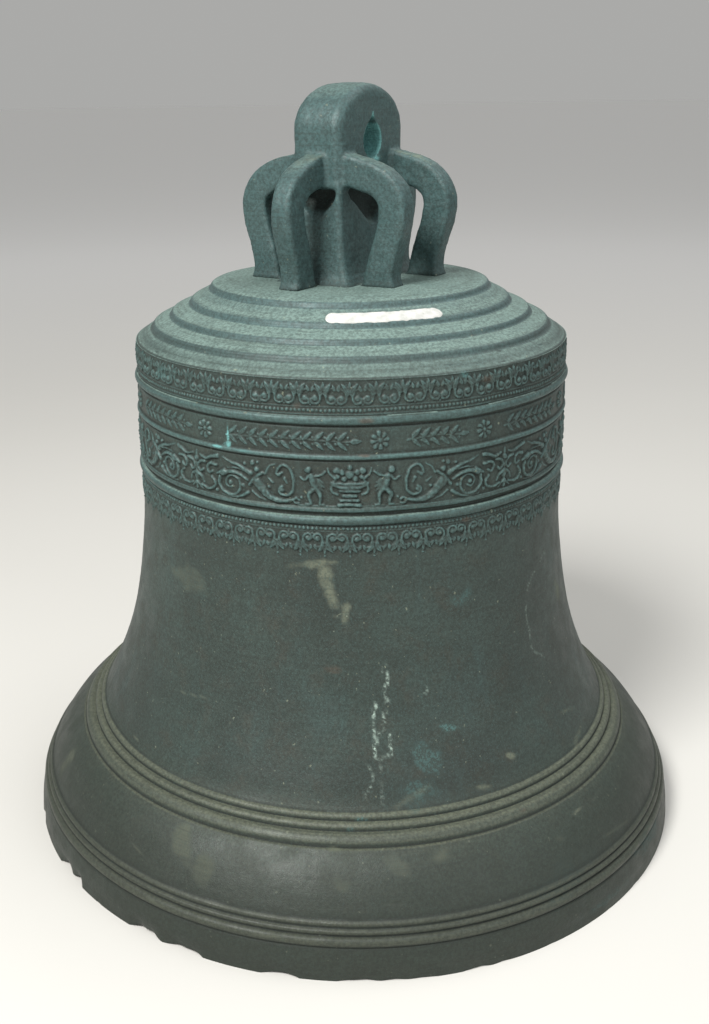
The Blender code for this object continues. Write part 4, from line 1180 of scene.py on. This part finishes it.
# near black: painted shade in hollows, dark specks of grime, and darkening towards the bottom of the bell
GRIME_AND_SHADE = (0.011, 0.014, 0.011)
IRON, IRON_RUST = (0.060, 0.055, 0.052), (0.150, 0.068, 0.032)
IRON_SCALE, IRON_BRIGHT = (0.030, 0.026, 0.024), (0.330, 0.315, 0.290)
LEATHER, LEATHER_SCUFFED, LEATHER_CREASE = (0.095, 0.045, 0.022), (0.190, 0.105, 0.058), (0.030, 0.014, 0.008)
THREAD_DARK, THREAD_PALE = (0.240, 0.180, 0.110), (0.420, 0.340, 0.230)
PAINT, PAINT_THIN, PAINT_GRUBBY = (0.560, 0.560, 0.540), (0.430, 0.435, 0.410), (0.300, 0.300, 0.260)
FLOOR_DARK, FLOOR_PALE, FLOOR_FAR = (0.600, 0.590, 0.560), (0.640, 0.630, 0.600), (0.985, 0.980, 0.975)


def patina(name, blue, dust_and_top_light_share, sand):
    """Bronze patina: dark green and brown, bluer on relief, dusted and painted lighter where it faces up,
    with a painted highlight on crests, painted shade in hollows, and marks of age.
    """
    m = Finish(name)
    height, hollow, edge, inside = m.fields("form")
    pale, green, rust, lime = m.fields("marks")
    level = m.upright(m.place())
    facing = m.upright(m.node("NewGeometry", {}).outputs["Normal"])
    broad = m.noise(9.0, 5.0, 0.6)
    mottle = m.noise(55.0, 6.0, 0.65, shift=3.0)
    grain = m.noise(420.0, 3.0, 0.7, shift=5.0)
    powdery = m.noise(800.0, 3.0, 0.7, shift=13.0)
    specks = m.noise(260.0, 2.0, 0.5, shift=8.0)
    lathe = m.noise(1.0, 4.0, 0.7, (2.2, 2.2, 130.0), 9.0)
    scored = m.noise(1.0, 3.0, 0.7, (9.0, 9.0, 900.0), 12.0)
    runs = m.noise(1.0, 4.0, 0.6, (38.0, 38.0, 4.0), 2.0)

    raised = m.plus(m.times(height, 0.6), blue, True)
    for share in (m.span(mottle, 0.40, 0.62, 0.45, 1.0), m.span(broad, 0.36, 0.6, 0.5, 1.0),
                  m.span(level, 0.09, 0.17, 0.3, 1.0)):
        raised = m.times(raised, share)
    # where the surface faces up it is lighter: partly settled dust, partly painted light from above
    dust_and_top_light = m.span(m.plus(facing, m.times(broad, 0.14)), 0.82, 1.0)
    dust_and_top_light = m.times(m.times(dust_and_top_light, m.span(mottle, 0.2, 0.62, 0.72, 1.0)), dust_and_top_light_share)
    powder = m.times(m.span(mottle, 0.3, 0.55, 0.35, 0.9), m.span(grain, 0.40, 0.6, 0.3, 1.0))
    fine = m.span(grain, 0.45, 0.58)
    green = m.maths("POWER", green, 1.7)
    bloom = m.plus(m.times(fine, 0.75), m.span(green, 0.3, 0.9, 0.05, 0.5), True)
    crumbs = m.span(m.noise(300.0, 3.0, 0.6, shift=11.0), 0.42, 0.56, 0.1, 1.0)

    layers = [(m.span(mottle, 0.48, 0.72, 0.0, 0.55), PATINA_BROWN),
              (m.times(m.span(lathe, 0.45, 0.7), 0.35), PATINA_DARK),
              (m.times(m.span(runs, 0.52, 0.75), 0.25), PATINA_BLUE),
              (m.span(level, 0.075, 0.115, 0.55, 0.0), PATINA_OLIVE),
              (m.span(level, 0.395, 0.43, 0.0, 0.4), HEAD_BLUE),
              (raised, PATINA_BLUE),
              # painted highlight on the crests of relief and mouldings, olive low on the bell and blue-green
              # higher up
              (m.times(edge, 0.75), m.mix(m.span(level, 0.10, 0.17), OLIVE_DUST_AND_PAINTED_LIGHT, HIGHLIGHT)),
              # painted shade in the hollows of the relief and mouldings, and in the crown's recesses
              (m.times(hollow, 0.85), GRIME_AND_SHADE),
              # dust and painted top light on up-facing surfaces
              (dust_and_top_light, m.mix(m.span(level, 0.09, 0.17), OLIVE_DUST_AND_PAINTED_LIGHT, DUST_AND_TOP_LIGHT)),
              (m.times(pale, powder), CHALK),
              (m.times(rust, 0.8), RUST),
              (m.times(green, bloom), VERDIGRIS),
              (m.times(lime, crumbs), LIME),
              (m.span(specks, 0.71, 0.76, 0.0, 0.45), CHALK),
              (m.span(grain, 0.35, 0.65, 0.0, 0.5), GRIME_AND_SHADE),
              (m.span(powdery, 0.5, 0.68, 0.0, 0.22), HIGHLIGHT),
              (m.span(scored, 0.5, 0.7, 0.0, 0.35), PATINA_DARK),
              # darker towards the bottom of the bell
              (m.span(level, 0.045, 0.135, 0.62, 0.0), GRIME_AND_SHADE),
              (m.times(inside, 0.6), PATINA_BROWN)]
    tone = m.mix(m.span(broad, 0.35, 0.68), PATINA_GREEN, PATINA_DARK)
    for share, colour in layers:
        tone = m.mix(share, tone, colour)

    rough = m.plus(m.span(mottle, 0.3, 0.7, 0.46, 0.62), m.times(dust_and_top_light, 0.2))
    for field in (hollow, pale, green, lime):
        rough = m.plus(rough, m.times(field, 0.25))
    crust = m.times(m.plus(m.times(green, 1.2), lime), fine)
    turned = m.noise(1.0, 3.0, 0.8, (3.0, 3.0, 620.0), 4.0)
    surface = m.bump(m.noise(1100.0, 3.0, 0.7, shift=1.0), 0.0003, 0.6)
    surface = m.bump(m.noise(330.0, 3.0, 0.6, shift=7.0), sand, 0.6, surface)
    for relief, depth, strength in ((mottle, 0.0006, 0.5), (lathe, 0.0003, 0.5), (turned, 0.0001, 0.5),
                                    (crust, 0.0005, 0.8)):
        surface = m.bump(relief, depth, strength, surface)
    return m.done(tone, m.maths("MINIMUM", rough, 0.95), surface, Metallic=0.15)


def forged_iron(name, worn=False):
    """Dark hammered iron with brown rust in patches, bright where it strikes if worn."""
    m = Finish(name)
    patches = m.noise(60.0, 6.0, 0.7)
    fine = m.noise(700.0, 4.0, 0.7, shift=2.0)
    tone = m.mix(m.span(patches, 0.45, 0.68), IRON, IRON_RUST)
    tone = m.mix(m.span(fine, 0.4, 0.65, 0.0, 0.45), tone, IRON_SCALE)
    metallic = m.span(patches, 0.42, 0.66, 0.85, 0.25)
    if worn:
        struck = m.fields("form")[0]
        tone = m.mix(m.times(struck, 0.8), tone, IRON_BRIGHT)
        metallic = m.maths("MAXIMUM", metallic, struck)
    surface = m.bump(fine, 0.0002, 0.6, m.bump(m.noise(130.0, 3.0, 0.5, shift=4.0), 0.0009, 0.6))
    return m.done(tone, m.span(patches, 0.35, 0.7, 0.42, 0.8), surface, Metallic=metallic)


def leather(name):
    """Oiled strap leather: pebbled grain, darker creases, scuffed lighter."""
    m = Finish(name)
    pebbles = m.node("TexVoronoi", {"Vector": m.place(), "Scale": 650.0}, feature="DISTANCE_TO_EDGE")
    grain = pebbles.outputs["Distance"]
    scuff = m.noise(90.0, 5.0, 0.7)
    tone = m.mix(m.span(scuff, 0.4, 0.7), LEATHER, LEATHER_SCUFFED)
    tone = m.mix(m.span(grain, 0.0, 0.16, 0.55, 0.0), tone, LEATHER_CREASE)
    surface = m.bump(scuff, 0.0008, 0.4, m.bump(grain, 0.0004, 0.7))
    return m.done(tone, m.span(scuff, 0.3, 0.7, 0.45, 0.75), surface)


def waxed_thread(name):
    m = Finish(name)
    twist = m.noise(1500.0, 2.0, 0.5)
    rough = m.span(twist, 0.3, 0.7, 0.45, 0.7)
    return m.done(m.mix(twist, THREAD_DARK, THREAD_PALE), rough, m.bump(twist, 0.0002, 0.6))


def label_paint(name):
    """Chalky white paint, brushed, thin and grubby at places."""
    m = Finish(name)
    brushed = m.noise(160.0, 4.0, 0.6)
    grubby = m.noise(420.0, 4.0, 0.7, shift=6.0)
    tone = m.mix(m.span(brushed, 0.35, 0.7), PAINT, PAINT_THIN)
    tone = m.mix(m.span(grubby, 0.58, 0.72, 0.0, 0.6), tone, PAINT_GRUBBY)
    return m.done(tone, m.span(brushed, 0.3, 0.7, 0.6, 0.85), m.bump(grubby, 0.00025, 0.7))


def floor_paint(name):
    """Matt pale paint, faintly cloudy, paler far off."""
    m = Finish(name)
    near = m.mix(m.noise(1.2, 3.0, 0.5), FLOOR_DARK, FLOOR_PALE)
    far = m.node("VectorMath", {0: m.place()}, operation="LENGTH").outputs["Value"]
    return m.done(m.mix(m.span(far, 1.0, 4.0), near, FLOOR_FAR), 0.85, **{"Specular IOR Level": 0.2})


# ---- floor, light and camera ---------------------------------------------------------------------
def around(azimuth, elevation, distance, target):
    """Place at an azimuth from the front, an elevation and a distance from a target."""
    a, e = math.radians(FRONT + azimuth), math.radians(elevation)
    level = distance * math.cos(e)
    return Vector(target) + Vector((level * math.cos(a), level * math.sin(a), distance * math.sin(e)))


def floor():
    """Plain level floor, wide enough that its far edge is never seen."""
    bm = bmesh.new()
    bmesh.ops.create_grid(bm, x_segments=8, y_segments=8, size=60.0)
    data = as_mesh("floor", bm)
    data.materials.append(floor_paint("pale_floor"))
    set_in_scene("floor", data)


def soft_light(name, azimuth, elevation, distance, size, power, colour):
    """Round soft light aimed at the middle of the bell."""
    lamp = bpy.data.lights.new(name, "AREA")
    lamp.shape = "DISK"
    lamp.size = size
    lamp.energy = power
    lamp.color = colour
    obj = set_in_scene(name, lamp)
    middle = Vector((0.0, 0.0, 0.3))
    obj.location = around(azimuth, elevation, distance, middle)
    obj.rotation_euler = (middle - obj.location).to_track_quat("-Z", "Y").to_euler()


def lighting():
    """Key from the left of the front, weaker fill from the right, one from above, and an even grey room."""
    soft_light("key", -34.0, 47.0, 2.3, 0.8, 71.0, (1.0, 0.99, 0.965))
    soft_light("fill", 46.0, 24.0, 2.6, 1.6, 14.0, (0.95, 0.98, 1.0))
    soft_light("above", 115.0, 60.0, 2.4, 1.8, 22.0, (1.0, 1.0, 1.0))
    world = bpy.data.worlds.new("studio")
    world.use_nodes = True
    background = world.node_tree.nodes["Background"]
    background.inputs["Color"].default_value = (0.640, 0.640, 0.625, 1.0)
    background.inputs["Strength"].default_value = 0.63
    bpy.context.scene.world = world
    bpy.context.scene.view_settings.view_transform = "Standard"


CAMERA_PITCH, CAMERA_YAW, CAMERA_ROLL = 20.31, -2.66, -0.15
CAMERA_DISTANCE, CAMERA_AIM = 0.9713, 0.2458    # distance from a point on the axis, and that point's height
LENS = 39.85
SHIFT = (0.056, 0.0016)


def camera():
    """Camera at the front, turned by small angles off the point that it stands round."""
    data = bpy.data.cameras.new("camera")
    data.lens = LENS
    data.sensor_width = 36.0
    data.shift_x, data.shift_y = SHIFT
    data.clip_start = 0.01
    obj = set_in_scene("camera", data)
    aim = Vector((0.0, 0.0, CAMERA_AIM))
    obj.location = around(0.0, CAMERA_PITCH, CAMERA_DISTANCE, aim)
    forward = (aim - obj.location).normalized()
    right = forward.cross(Vector((0.0, 0.0, 1.0))).normalized()
    up = right.cross(forward)
    yaw, roll = math.radians(CAMERA_YAW), math.radians(CAMERA_ROLL)
    turned = forward * math.cos(yaw) + right * math.sin(yaw)
    right = right * math.cos(yaw) - forward * math.sin(yaw)
    side = right * math.cos(roll) + up * math.sin(roll)
    up = up * math.cos(roll) - right * math.sin(roll)
    obj.rotation_euler = Matrix((side, up, -turned)).transposed().to_euler()
    bpy.context.scene.camera = obj


def fittings(material):
    """The CAD's own iron fittings keep their shape and take the iron."""
    for name, obj in frame["nodes"].items():
        if name.startswith("strap_"):
            obj.data.materials.clear()
            obj.data.materials.append(material)


camera()
bell_patina = patina("bronze_patina_skin", 0.04, 0.95, 0.0003)
crown_patina = patina("bronze_patina_crown_skin", 0.7, 0.35, 0.0006)
iron = forged_iron("forged_iron_skin")
casting(bell_patina)
crown(crown_patina)
label(label_paint("label_white_paint"))
staple(iron)
clapper(forged_iron("forged_iron_worn", True))
strap(leather("strap_leather_skin"), waxed_thread("waxed_thread"))
fittings(iron)
floor()
lighting()
